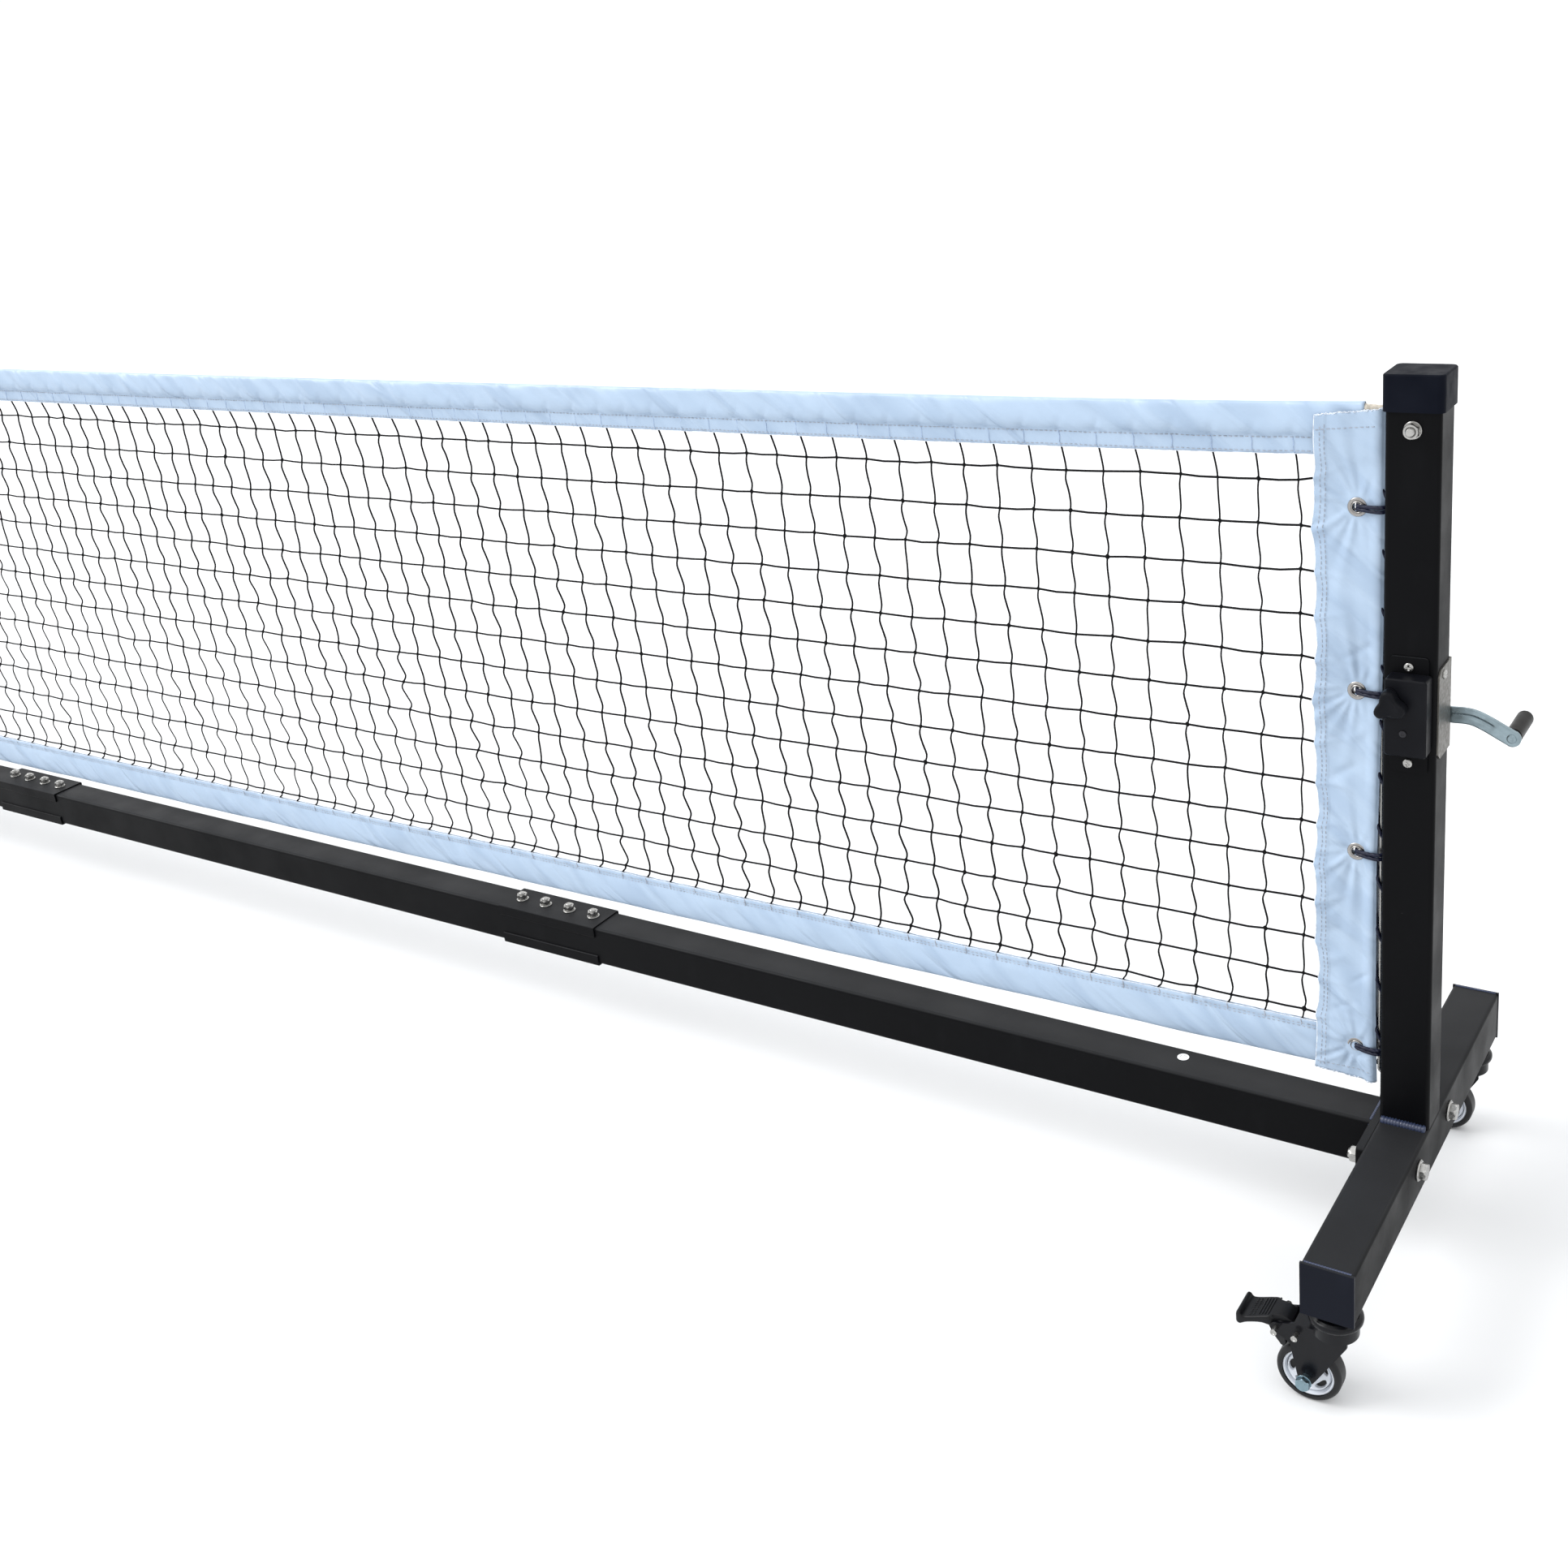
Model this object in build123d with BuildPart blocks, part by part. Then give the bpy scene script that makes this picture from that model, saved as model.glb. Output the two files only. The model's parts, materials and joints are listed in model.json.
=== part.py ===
from build123d import *

import math
import os

# Wheeled pickleball net. Two posts on castered feet are joined by a bolted base beam. A crank winds
# the head cable that carries the net. Millimetres; X runs along the net, +X is the crank end, -Y is
# the front, +Z is up, and the origin is on the floor under the centre of the net.

# ---- driving dimensions ----
NET_SPAN = 6706.0        # between the posts' inner faces, 22 ft
WALL = 2.0               # steel tube wall
CORNER = 4.0             # outer corner radius of the steel tubes
POST_W = 50.0            # post and foot, along X
POST_D = 44.0            # post, along Y
POST_TOP = 945.0
CASTER_H = 116.0         # floor to the underside of the foot
FOOT_H = 57.5
FOOT_HALF = 264.0        # foot tube, half length along Y
END_PLATE = 3.0
CAP_WALL = 2.4
CAP_BOTTOM = 915.0
CAP_TOP = 949.0
CABLE_R = 2.0
CABLE_AT_PULLEY = 912.0  # cable centre line above the pulley
CABLE_SLOPE = 0.0094     # slope of the cable where it reaches a post, about 16 mm of sag

INNER_FACE = NET_SPAN / 2
POST_X = INNER_FACE + POST_W / 2
OUTER_FACE = INNER_FACE + POST_W
FOOT_TOP = CASTER_H + FOOT_H

# base beam
BEAM_D = 50.0
BEAM_H = 54.0
BEAM_TOP = FOOT_TOP - 4.0
FLANGE_T = 8.0
FLANGE_HALF = 75.0
FLANGE_H = 58.0
JOINT_OUT = 2214.0       # beam joints, along X from the centre
JOINT_IN = 1014.0
FOOT_BOLT_Y = 56.0
FOOT_BOLT_Z = 149.0
FOOT_BOLT_R = 5.0
CHANNEL_HALF = 86.0
CHANNEL_SKIRT = 13.0
SPLICE_BOLT_R = 4.0
SPLICE_PITCH = 43.0

# casters, measured from the swivel axis
CASTER_Y = 240.0
TRAIL = 24.0
TYRE_R = 31.75
TYRE_W = 20.0
RIM_R = 25.6
AXLE_R = 4.0
CHEEK_IN = 12.0
CHEEK_OUT = 14.5
PEDAL_PIN = (-53.0, 79.0)
SPACER_PIN = (-33.0, 79.0)
PIN_R = 2.5
REACH = 93.0             # pedal tip and crank end, from the post's centre plane

# winch in the right post
CRANK_Z = 615.5
SHAFT_R = 5.0
BUSH_R = 7.0
DRUM_R = 10.7
CRANK_LENGTH = 84.6
CRANK_DROP = 14.3        # degrees below the horizontal
GRIP_R = 8.0
HOUSING_X = POST_X + 1.7
HOUSING_Z = 630.5
HOUSING_W = 39.0
HOUSING_H = 77.0
PLATE_Z = 627.0
PLATE_SCREW_Z = (675.5, 578.5)
SIDE_SCREW = (-3.0, 664.0)   # y, z
KNOB_X = POST_X - 10.0
KNOB_Z = 645.5

# pulley in the right post's top
PULLEY_R = 13.0          # radius of the cable's centre line round it
PULLEY_Z = CABLE_AT_PULLEY - PULLEY_R

# net
TAPE_T = 3.0
TAPE_H = 44.0
MESH_T = 1.2
BOTTOM_TAPE_TOP = 259.5
BOTTOM_TAPE_H = 48.0
BOTTOM_SAG = 16.0
BAND_IN = 69.0           # side band, from the post's inner face
BAND_OUT = 13.0
BAND_BOTTOM = 205.5
BAND_TOP = 903.0
GROMMET_IN = 30.0
GROMMET_Z = (819.5, 637.0, 465.5, 242.5)
GROMMET_R = 4.5
CORD_R = 2.0
BAR_R = 2.0
BAR_IN = 6.5
GAP = 0.5

SIDES = (("right", 1), ("left", -1))
ENDS = (("front", -1), ("rear", 1))

os.makedirs("parts", exist_ok=True)


def write(piece, name):
    """Label one finished sub-part and write it to its own STEP file."""
    piece.part.label = name
    export_step(piece.part, f"parts/{name}.step")


def along_x(radius, length, **options):
    """A cylinder whose axis runs along X."""
    return Cylinder(radius, length, rotation=(0, 90, 0), **options)


def along_y(radius, length, **options):
    """A cylinder whose axis runs along Y."""
    return Cylinder(radius, length, rotation=(90, 0, 0), **options)


def front(y):
    """The XZ plane at y, whose normal points to the front (-Y)."""
    return Plane.XZ.offset(-y)


# ---- head cable route: straight to the sag arc, straight to the pulley, round it and down ----
slope = math.atan(CABLE_SLOPE)
corner_x = POST_X + PULLEY_R
corner_z = PULLEY_Z + PULLEY_R * (1 / math.cos(slope) + CABLE_SLOPE)
centre_z = corner_z - corner_x * CABLE_SLOPE
ANCHOR_X = -(POST_X - 5.0)
anchor_z = centre_z - ANCHOR_X * CABLE_SLOPE
SAG_TANGENT = 3300.0
sag_r = SAG_TANGENT / CABLE_SLOPE
sag_low = centre_z + sag_r * (1 / math.cos(slope) - 1)
CABLE_END_Z = CRANK_Z + 2.0


def cable_z(x):
    """Height of the cable's centre line on its sag arc."""
    return sag_low + sag_r - math.sqrt(sag_r**2 - x**2)


def bottom_z(x, top):
    """Height of a bottom tape edge that is at `top` beside the posts."""
    return top - BOTTOM_SAG * (1 - (x / INNER_FACE) ** 2)


def sagging_outline(half, top, bottom):
    """Closed outline of a strip of the net between two gently curved edges, in the XZ plane."""
    upper = [(x, top(x)) for x in (-half, 0, half)]
    lower = [(x, bottom(x)) for x in (half, 0, -half)]
    ThreePointArc(*upper)
    Line(upper[-1], lower[0])
    ThreePointArc(*lower)
    Line(lower[-1], upper[0])


print("head cable radii:", round(sag_r), PULLEY_R)

# ---- posts ----
for side, sx in SIDES:
    with BuildPart() as post:
        with BuildSketch(Plane.XY.offset(FOOT_TOP)):
            with Locations((sx * POST_X, 0)):
                RectangleRounded(POST_W, POST_D, CORNER)
                inner = (POST_W - 2 * WALL, POST_D - 2 * WALL)
                RectangleRounded(*inner, CORNER - WALL, mode=Mode.SUBTRACT)
        extrude(amount=POST_TOP - FOOT_TOP)
        with Locations((sx * INNER_FACE, 0, CABLE_AT_PULLEY - 3)):
            Box(4 * WALL, 10, 14, mode=Mode.SUBTRACT)
        with Locations((sx * POST_X, 0, PULLEY_Z)):
            along_y(4.2, 2 * POST_D, mode=Mode.SUBTRACT)
        if side == "right":
            with Locations((POST_X, 0, CRANK_Z)):
                along_y(BUSH_R + 0.1, 2 * POST_D, mode=Mode.SUBTRACT)
            with Locations(*((POST_X, -POST_D / 2, z) for z in PLATE_SCREW_Z)):
                along_y(2.2, 4 * WALL, mode=Mode.SUBTRACT)
            with Locations((OUTER_FACE, *SIDE_SCREW)):
                along_x(2.2, 4 * WALL, mode=Mode.SUBTRACT)
    write(post, f"post_{side}")

with BuildPart() as post_caps:
    cap_w = POST_W + 2 * CAP_WALL + 0.4
    cap_d = POST_D + 2 * CAP_WALL + 0.4
    with BuildSketch(Plane.XY.offset(CAP_BOTTOM)):
        with Locations((POST_X, 0), (-POST_X, 0)):
            RectangleRounded(cap_w, cap_d, CORNER + CAP_WALL)
    extrude(amount=CAP_TOP - CAP_BOTTOM)
    fillet(post_caps.faces().group_by(Axis.Z)[-1].edges(), 2.0)
    with BuildSketch(Plane.XY.offset(CAP_BOTTOM)):
        with Locations((POST_X, 0), (-POST_X, 0)):
            RectangleRounded(POST_W + 0.4, POST_D + 0.4, CORNER)
    extrude(amount=POST_TOP - CAP_BOTTOM + 0.2, mode=Mode.SUBTRACT)
write(post_caps, "post_caps")

# ---- feet ----
for side, sx in SIDES:
    with BuildPart() as foot:
        with BuildSketch(Plane.XZ):
            with Locations((sx * POST_X, CASTER_H + FOOT_H / 2)):
                RectangleRounded(POST_W, FOOT_H, CORNER)
                RectangleRounded(POST_W - 2 * WALL, FOOT_H - 2 * WALL, CORNER - WALL, mode=Mode.SUBTRACT)
        extrude(amount=FOOT_HALF, both=True)
        with Locations(*((sx * POST_X, y, FOOT_BOLT_Z) for y in (-FOOT_BOLT_Y, FOOT_BOLT_Y))):
            along_x(FOOT_BOLT_R + 0.3, 2 * POST_W, mode=Mode.SUBTRACT)
        with Locations(*((sx * POST_X, y, CASTER_H) for y in (-CASTER_Y, CASTER_Y))):
            Cylinder(5.3, 4 * WALL, mode=Mode.SUBTRACT)
    write(foot, f"foot_{side}")

with BuildPart() as foot_end_plates:
    for _, sx in SIDES:
        for _, sy in ENDS:
            with Locations((sx * POST_X, sy * (FOOT_HALF + END_PLATE / 2), CASTER_H + FOOT_H / 2)):
                Box(POST_W + 1, END_PLATE, FOOT_H + 1)
    chamfer(foot_end_plates.edges().filter_by(Axis.X), 0.7)
write(foot_end_plates, "foot_end_plates")

# ---- base beam ----
with BuildPart() as beam_flange_plates:
    for _, sx in SIDES:
        with BuildSketch(Plane.YZ.offset(sx * (INNER_FACE - FLANGE_T / 2))):
            with Locations((0, CASTER_H - 3 + FLANGE_H / 2)):
                RectangleRounded(2 * FLANGE_HALF, FLANGE_H, 5)
            with Locations((-FOOT_BOLT_Y, FOOT_BOLT_Z), (FOOT_BOLT_Y, FOOT_BOLT_Z)):
                Circle(FOOT_BOLT_R + 0.3, mode=Mode.SUBTRACT)
        extrude(amount=FLANGE_T / 2, both=True)
write(beam_flange_plates, "beam_flange_plates")

beam_end = INNER_FACE - FLANGE_T
JOINTS = (-JOINT_OUT, -JOINT_IN, JOINT_IN, JOINT_OUT)
BOLT_OFFSETS = tuple(SPLICE_PITCH * (i - 1.5) for i in range(4))
SPLICE_BOLTS = [(x + dx, 0) for x in JOINTS for dx in BOLT_OFFSETS]

section_ends = (-beam_end, *JOINTS, beam_end)
for number in range(5):
    x0, x1 = section_ends[number], section_ends[number + 1]
    with BuildPart() as beam:
        with BuildSketch(Plane.YZ.offset(x0)):
            with Locations((0, BEAM_TOP - BEAM_H / 2)):
                RectangleRounded(BEAM_D, BEAM_H, CORNER)
                RectangleRounded(BEAM_D - 2 * WALL, BEAM_H - 2 * WALL, CORNER - WALL, mode=Mode.SUBTRACT)
        extrude(amount=x1 - x0)
        holes = [(x, y, BEAM_TOP - BEAM_H / 2) for x, y in SPLICE_BOLTS if x0 < x < x1]
        with Locations(*holes):
            Cylinder(SPLICE_BOLT_R + 0.3, 2 * BEAM_H, mode=Mode.SUBTRACT)
    write(beam, f"beam_section_{number + 1}")

for level, face, away in (("upper", BEAM_TOP, 1), ("lower", BEAM_TOP - BEAM_H, -1)):
    with BuildPart() as channels:
        for x in JOINTS:
            with BuildSketch(Plane.YZ.offset(x)):
                with Locations((0, face + away * (WALL - CHANNEL_SKIRT) / 2)):
                    RectangleRounded(BEAM_D + 2 * WALL + 0.4, CHANNEL_SKIRT + WALL, 1.5)
                with Locations((0, face - away * CHANNEL_SKIRT / 2)):
                    Rectangle(BEAM_D + 0.4, CHANNEL_SKIRT, mode=Mode.SUBTRACT)
            extrude(amount=CHANNEL_HALF, both=True)
        with Locations(*((x, y, face) for x, y in SPLICE_BOLTS)):
            Cylinder(SPLICE_BOLT_R + 0.3, 6 * WALL, mode=Mode.SUBTRACT)
    write(channels, f"splice_channels_{level}")

HEX_8 = 13 / math.sqrt(3)        # corner radius of a hexagon 13 mm across flats
HEX_10 = 16 / math.sqrt(3)
splice_top = BEAM_TOP + WALL
splice_low = BEAM_TOP - BEAM_H - WALL
with BuildPart() as splice_fasteners:
    with BuildSketch(Plane.XY.offset(splice_low - 5.3)):
        with Locations(*SPLICE_BOLTS):
            RegularPolygon(HEX_8, 6)
    extrude(amount=5.3)
    with BuildSketch(Plane.XY.offset(splice_low)):
        with Locations(*SPLICE_BOLTS):
            Circle(SPLICE_BOLT_R)
    extrude(amount=splice_top - splice_low + 11)
    with BuildSketch(Plane.XY.offset(splice_top)):
        with Locations(*SPLICE_BOLTS):
            Circle(8.5)
            Circle(SPLICE_BOLT_R + 0.1, mode=Mode.SUBTRACT)
    extrude(amount=1.6)
    with BuildSketch(Plane.XY.offset(splice_top + 1.6)):
        with Locations(*SPLICE_BOLTS):
            RegularPolygon(HEX_8, 6)
            Circle(SPLICE_BOLT_R + 0.1, mode=Mode.SUBTRACT)
    extrude(amount=6.4)
write(splice_fasteners, "splice_fasteners")

with BuildPart() as foot_fasteners:
    points = ((-FOOT_BOLT_Y, FOOT_BOLT_Z), (FOOT_BOLT_Y, FOOT_BOLT_Z))
    for _, sx in SIDES:
        nut_x = INNER_FACE - FLANGE_T
        # (start, length towards the post's outside, radius, hexagonal, hollow)
        stack = (
            (nut_x - 13, OUTER_FACE - nut_x + 13, FOOT_BOLT_R, False, False),
            (OUTER_FACE, 2, 11, False, False),
            (OUTER_FACE + 2, 7, HEX_10, True, False),
            (nut_x - 1.6, 1.6, 10, False, True),
            (nut_x - 10.6, 9, HEX_10, True, True),
        )
        for start, length, radius, is_hex, hollow in stack:
            with BuildSketch(Plane.YZ.offset(sx * start)):
                with Locations(*points):
                    if is_hex:
                        RegularPolygon(radius, 6)
                    else:
                        Circle(radius)
                    if hollow:
                        Circle(FOOT_BOLT_R + 0.1, mode=Mode.SUBTRACT)
            extrude(amount=sx * length)
write(foot_fasteners, "foot_fasteners")

# ---- casters ----
with BuildPart() as caster_stems:
    for _, sx in SIDES:
        for _, sy in ENDS:
            swivel = Plane((sx * POST_X, sy * CASTER_Y, 0), x_dir=(1, 0, 0), z_dir=(0, -1, 0))
            with BuildSketch(swivel):
                # cup over the ball race, king pin with its head, threaded stem and nut
                with BuildLine():
                    Polyline(
                        (0, 87), (9, 87), (9, 89.5), (6, 89.5), (6, 103.5), (22.8, 103.5), (22.8, 100.8),
                        (25, 100.8), (25, 105.5), (22, 108), (9, 108), (9, CASTER_H), (5, CASTER_H),
                        (5, CASTER_H + WALL), (9, CASTER_H + WALL), (9, 126), (5, 126), (5, 134), (0, 134),
                        close=True,
                    )
                make_face()
            revolve(axis=Axis(swivel.origin, (0, 0, 1)))
write(caster_stems, "caster_stems")

for side, sx in SIDES:
    for end, sy in ENDS:
        cx, cy = sx * POST_X, sy * CASTER_Y
        place = f"{end}_{side}"
        axle_x = cx - TRAIL

        with BuildPart() as fork:
            # neck plate with its raised boss, hollow round the king pin's head
            with BuildSketch(Plane.XY.offset(85.5)):
                with Locations((cx - 10.5, cy)):
                    Rectangle(51, 2 * CHEEK_OUT)
            extrude(amount=4.5)
            with BuildSketch(Plane.XY.offset(85.5)):
                with Locations((cx, cy)):
                    Circle(22)
            extrude(amount=15)
            with BuildSketch(Plane.XY.offset(100.5)):
                with Locations((cx, cy)):
                    Circle(21)
                    Circle(17, mode=Mode.SUBTRACT)
            extrude(amount=2.7)
            with Locations((cx, cy, 85.5)):
                Cylinder(6.15, 40, mode=Mode.SUBTRACT)
                Cylinder(9.6, 9, mode=Mode.SUBTRACT)
            for sign in (-1, 1):
                with BuildSketch(front(cy + sign * (CHEEK_IN + CHEEK_OUT) / 2)):
                    with Locations((cx, 0)):
                        Polygon(
                            (15, 90), (15, 80), (-15.5, 29), (-32.5, 29), (-40, 66), (-53, 73),
                            (-57, 80), (-51, 85), (-41, 88), (-36, 90), align=None,
                        )
                    with Locations((axle_x, TYRE_R)):
                        Circle(8.6)
                    with Locations((cx + PEDAL_PIN[0], PEDAL_PIN[1])):
                        Circle(6)
                        Circle(PIN_R + 0.1, mode=Mode.SUBTRACT)
                    with Locations((axle_x, TYRE_R)):
                        Circle(AXLE_R + 0.1, mode=Mode.SUBTRACT)
                    with Locations((cx + SPACER_PIN[0], SPACER_PIN[1])):
                        Circle(PIN_R + 0.1, mode=Mode.SUBTRACT)
                extrude(amount=(CHEEK_OUT - CHEEK_IN) / 2, both=True)
        write(fork, f"caster_fork_{place}")

        with BuildPart() as axle:
            with Locations((axle_x, cy, TYRE_R)):
                along_y(AXLE_R, 2 * CHEEK_OUT + 10)
            for y0, depth in ((cy - CHEEK_OUT - 5.3, 5.3), (cy + CHEEK_OUT, 5.0)):
                with BuildSketch(front(y0 + depth)):
                    with Locations((axle_x, TYRE_R)):
                        RegularPolygon(HEX_8, 6)
                extrude(amount=depth)
            for pin_x, pin_z in (PEDAL_PIN, SPACER_PIN):
                with Locations((cx + pin_x, cy, pin_z)):
                    along_y(PIN_R, 2 * CHEEK_OUT + 2)
                for sign in (-1, 1):
                    with Locations((cx + pin_x, cy + sign * (CHEEK_OUT + 0.6), pin_z)):
                        along_y(PIN_R + 0.7, 1.2)
        write(axle, f"caster_pins_{place}")

        wheel = Plane((axle_x, cy, TYRE_R), x_dir=(1, 0, 0), z_dir=(0, 0, 1))
        wheel_axis = Axis(wheel.origin, (0, 1, 0))
        with BuildPart() as tyre:
            with BuildSketch(wheel) as tread:
                with Locations(((RIM_R + TYRE_R) / 2, 0)):
                    Rectangle(TYRE_R - RIM_R, TYRE_W)
                fillet(tread.vertices().group_by(Axis.X)[-1], 4.5)
            revolve(axis=wheel_axis)
        write(tyre, f"caster_tyre_{place}")

        with BuildPart() as rim:
            with BuildSketch(wheel):
                with Locations(((20.5 + RIM_R) / 2, 0)):
                    Rectangle(RIM_R - 20.5, 18)
                with Locations(((AXLE_R + 0.1 + 9) / 2, 0)):
                    Rectangle(9 - AXLE_R - 0.1, 2 * CHEEK_IN - 1.4)
            revolve(axis=wheel_axis)
            with BuildSketch(front(cy)):
                with Locations((axle_x, TYRE_R)):
                    Circle(21)
                    Circle(8.5, mode=Mode.SUBTRACT)
                    with PolarLocations(14.6, 5):
                        Rectangle(8.4, 9.4, mode=Mode.SUBTRACT)
            extrude(amount=5, both=True)
        write(rim, f"caster_rim_{place}")

        with BuildPart() as pedal:
            # tongue, pivot lug and brake shoe between the fork's cheeks
            with BuildSketch(front(cy)):
                with Locations((cx, 0)):
                    Polygon(
                        (-37, 86.5), (-37, 90), (-61, 91), (-82, 89.5), (-82, 84), (-71, 81), (-63, 77),
                        (-58, 68), (-49.5, 57.5), (-46.8, 56.7), (-44.5, 60), (-45, 72), (-45, 84),
                        align=None,
                    )
                    with Locations(PEDAL_PIN):
                        Circle(PIN_R + 0.1, mode=Mode.SUBTRACT)
            extrude(amount=CHEEK_IN - 0.4, both=True)
            # wide tread with its raised lip
            with BuildSketch(front(cy)):
                with Locations((cx, 0)):
                    Polygon(
                        (-62, 82), (-62, 91), (-81, 89.6), (-85, 92.5), (-91, 92), (-REACH, 89),
                        (-REACH, 81), (-90, 78.5), (-84, 79), (-75, 83), (-67, 83), align=None,
                    )
            extrude(amount=15, both=True)
        write(pedal, f"caster_pedal_{place}")

# ---- winch ----
with BuildPart() as winch_plate:
    with BuildSketch(front(-POST_D / 2)):
        with Locations((POST_X, PLATE_Z)):
            RectangleRounded(36, 116, 4)
        with Locations((POST_X, CRANK_Z)):
            Circle(BUSH_R + 0.1, mode=Mode.SUBTRACT)
        with Locations(*((POST_X, z) for z in PLATE_SCREW_Z)):
            Circle(2.2, mode=Mode.SUBTRACT)
    extrude(amount=WALL)
write(winch_plate, "winch_plate")

PLATE_FRONT = -POST_D / 2 - WALL
HOUSING_DEPTH = 18.0
with BuildPart() as winch_housing:
    with BuildSketch(front(PLATE_FRONT)):
        with Locations((HOUSING_X, HOUSING_Z)):
            RectangleRounded(HOUSING_W, HOUSING_H, 3)
    extrude(amount=HOUSING_DEPTH)
    chamfer(winch_housing.faces().sort_by(Axis.Y)[0].edges(), 1.2)
    with BuildSketch(front(PLATE_FRONT)):
        with Locations((HOUSING_X, HOUSING_Z)):
            RectangleRounded(HOUSING_W - 2 * WALL, HOUSING_H - 2 * WALL, 1.5)
    extrude(amount=HOUSING_DEPTH - WALL, mode=Mode.SUBTRACT)
    with Locations((KNOB_X, PLATE_FRONT - HOUSING_DEPTH, KNOB_Z)):
        along_y(4.3, 4 * WALL, mode=Mode.SUBTRACT)
    with Locations((POST_X, PLATE_FRONT - HOUSING_DEPTH, CRANK_Z)):
        along_y(2.2, 4 * WALL, mode=Mode.SUBTRACT)
write(winch_housing, "winch_housing")

BRACKET_T = 1.5
SIDE_PLATE_LOW = 582.0
SIDE_PLATE_H = 90.0
with BuildPart() as winch_side_plate:
    # bent sheet: one leg on the post's outer face, one on its rear face
    with BuildSketch(Plane.XY.offset(SIDE_PLATE_LOW)):
        with BuildLine():
            Polyline(
                (OUTER_FACE, -19), (OUTER_FACE + BRACKET_T, -19),
                (OUTER_FACE + BRACKET_T, POST_D / 2 + BRACKET_T), (POST_X - 20, POST_D / 2 + BRACKET_T),
                (POST_X - 20, POST_D / 2), (OUTER_FACE, POST_D / 2), close=True,
            )
        make_face()
    extrude(amount=SIDE_PLATE_H)
    fillet(winch_side_plate.edges().filter_by(Axis.Z).sort_by(Axis.X)[-1], 1.4)
    with Locations((POST_X, POST_D / 2, CRANK_Z)):
        along_y(BUSH_R + 0.1, 4 * WALL, mode=Mode.SUBTRACT)
    with Locations((OUTER_FACE, *SIDE_SCREW)):
        along_x(2.2, 4 * WALL, mode=Mode.SUBTRACT)
    chamfer(winch_side_plate.edges().filter_by(Axis.X).sort_by(Axis.Y)[:2], 6)
write(winch_side_plate, "winch_side_plate")

with BuildPart() as winch_screws:
    # (x, z, face they sit on, head radius, head height, shank length)
    front_screws = (
        *((POST_X, z, PLATE_FRONT, 4.5, 2.8, 7) for z in PLATE_SCREW_Z),
        (POST_X, CRANK_Z, PLATE_FRONT - HOUSING_DEPTH, 3.4, 1.6, 3),
    )
    for x, z, face, radius, height, shank in front_screws:
        with BuildSketch(front(face)):
            with Locations((x, z)):
                Circle(radius)
        extrude(amount=height)
        with BuildSketch(front(face)):
            with Locations((x, z)):
                Circle(2)
        extrude(amount=-shank)
    with Locations((OUTER_FACE + BRACKET_T + 1.2, *SIDE_SCREW)):
        along_x(4.5, 2.4)
    with Locations((OUTER_FACE - 1.5, *SIDE_SCREW)):
        along_x(2, 6)
write(winch_screws, "winch_screws")

with BuildPart() as winch_bushings:
    # (flange start, flange direction, barrel length)
    for face, away, length in ((PLATE_FRONT, -1, 5), (POST_D / 2 + BRACKET_T, 1, 4.5)):
        with Locations((POST_X, face + away * 0.75, CRANK_Z)):
            along_y(9, 1.5)
        with Locations((POST_X, face - away * length / 2, CRANK_Z)):
            along_y(BUSH_R, length)
    with Locations((POST_X, 0, CRANK_Z)):
        along_y(SHAFT_R + 0.06, 2 * POST_D, mode=Mode.SUBTRACT)
write(winch_bushings, "winch_bushings")

ARM_FACE = 27.0
ARM_T = 4.0
with BuildPart() as crank_shaft:
    with BuildSketch(front(ARM_FACE + ARM_T)):
        with Locations((POST_X, CRANK_Z)):
            Circle(SHAFT_R)
    extrude(amount=ARM_FACE + ARM_T + 38)
    with BuildSketch(front(ARM_FACE + ARM_T + 6)):
        with Locations((POST_X, CRANK_Z)):
            RegularPolygon(HEX_8, 6)
    extrude(amount=6)
write(crank_shaft, "crank_shaft")

with BuildPart() as cable_spool:
    with Locations((POST_X, 0, CRANK_Z)):
        along_y(DRUM_R, 32)
    for sign in (-1, 1):
        with Locations((POST_X, sign * 17, CRANK_Z)):
            along_y(20, 2)
    with Locations((POST_X, 0, CRANK_Z)):
        along_y(SHAFT_R + 0.05, 40, mode=Mode.SUBTRACT)
write(cable_spool, "cable_spool")

with BuildPart() as brake_disc:
    with BuildSketch(front(-28)):
        with Locations((POST_X, CRANK_Z)):
            Circle(14)
            Circle(SHAFT_R + 0.05, mode=Mode.SUBTRACT)
    extrude(amount=6)
write(brake_disc, "brake_disc")

grip_x = POST_X + CRANK_LENGTH * math.cos(math.radians(CRANK_DROP))
grip_z = CRANK_Z - CRANK_LENGTH * math.sin(math.radians(CRANK_DROP))
GRIP_START = ARM_FACE + ARM_T + 1
GRIP_LENGTH = 50.0
with BuildPart() as crank_arm:
    with BuildSketch(front(ARM_FACE + ARM_T)):
        with Locations((POST_X, CRANK_Z)):
            Circle(11)
        with Locations((grip_x, grip_z)):
            Circle(REACH - (grip_x - POST_X))
        make_hull()
        with Locations((POST_X, CRANK_Z)):
            Circle(SHAFT_R + 0.05, mode=Mode.SUBTRACT)
    extrude(amount=ARM_T)
    arm_rib = Plane((POST_X, ARM_FACE, CRANK_Z), x_dir=(grip_x - POST_X, 0, grip_z - CRANK_Z), z_dir=(0, -1, 0))
    with BuildSketch(arm_rib):
        with Locations((42, 0)):
            SlotOverall(50, 7)
    extrude(amount=1.5)
    with Locations((grip_x, ARM_FACE - 0.6, grip_z)):
        along_y(4.5, 1.2)
    with BuildSketch(front(ARM_FACE + ARM_T + 45)):
        with Locations((grip_x, grip_z)):
            Circle(3)
    extrude(amount=45)
write(crank_arm, "crank_arm")

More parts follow.
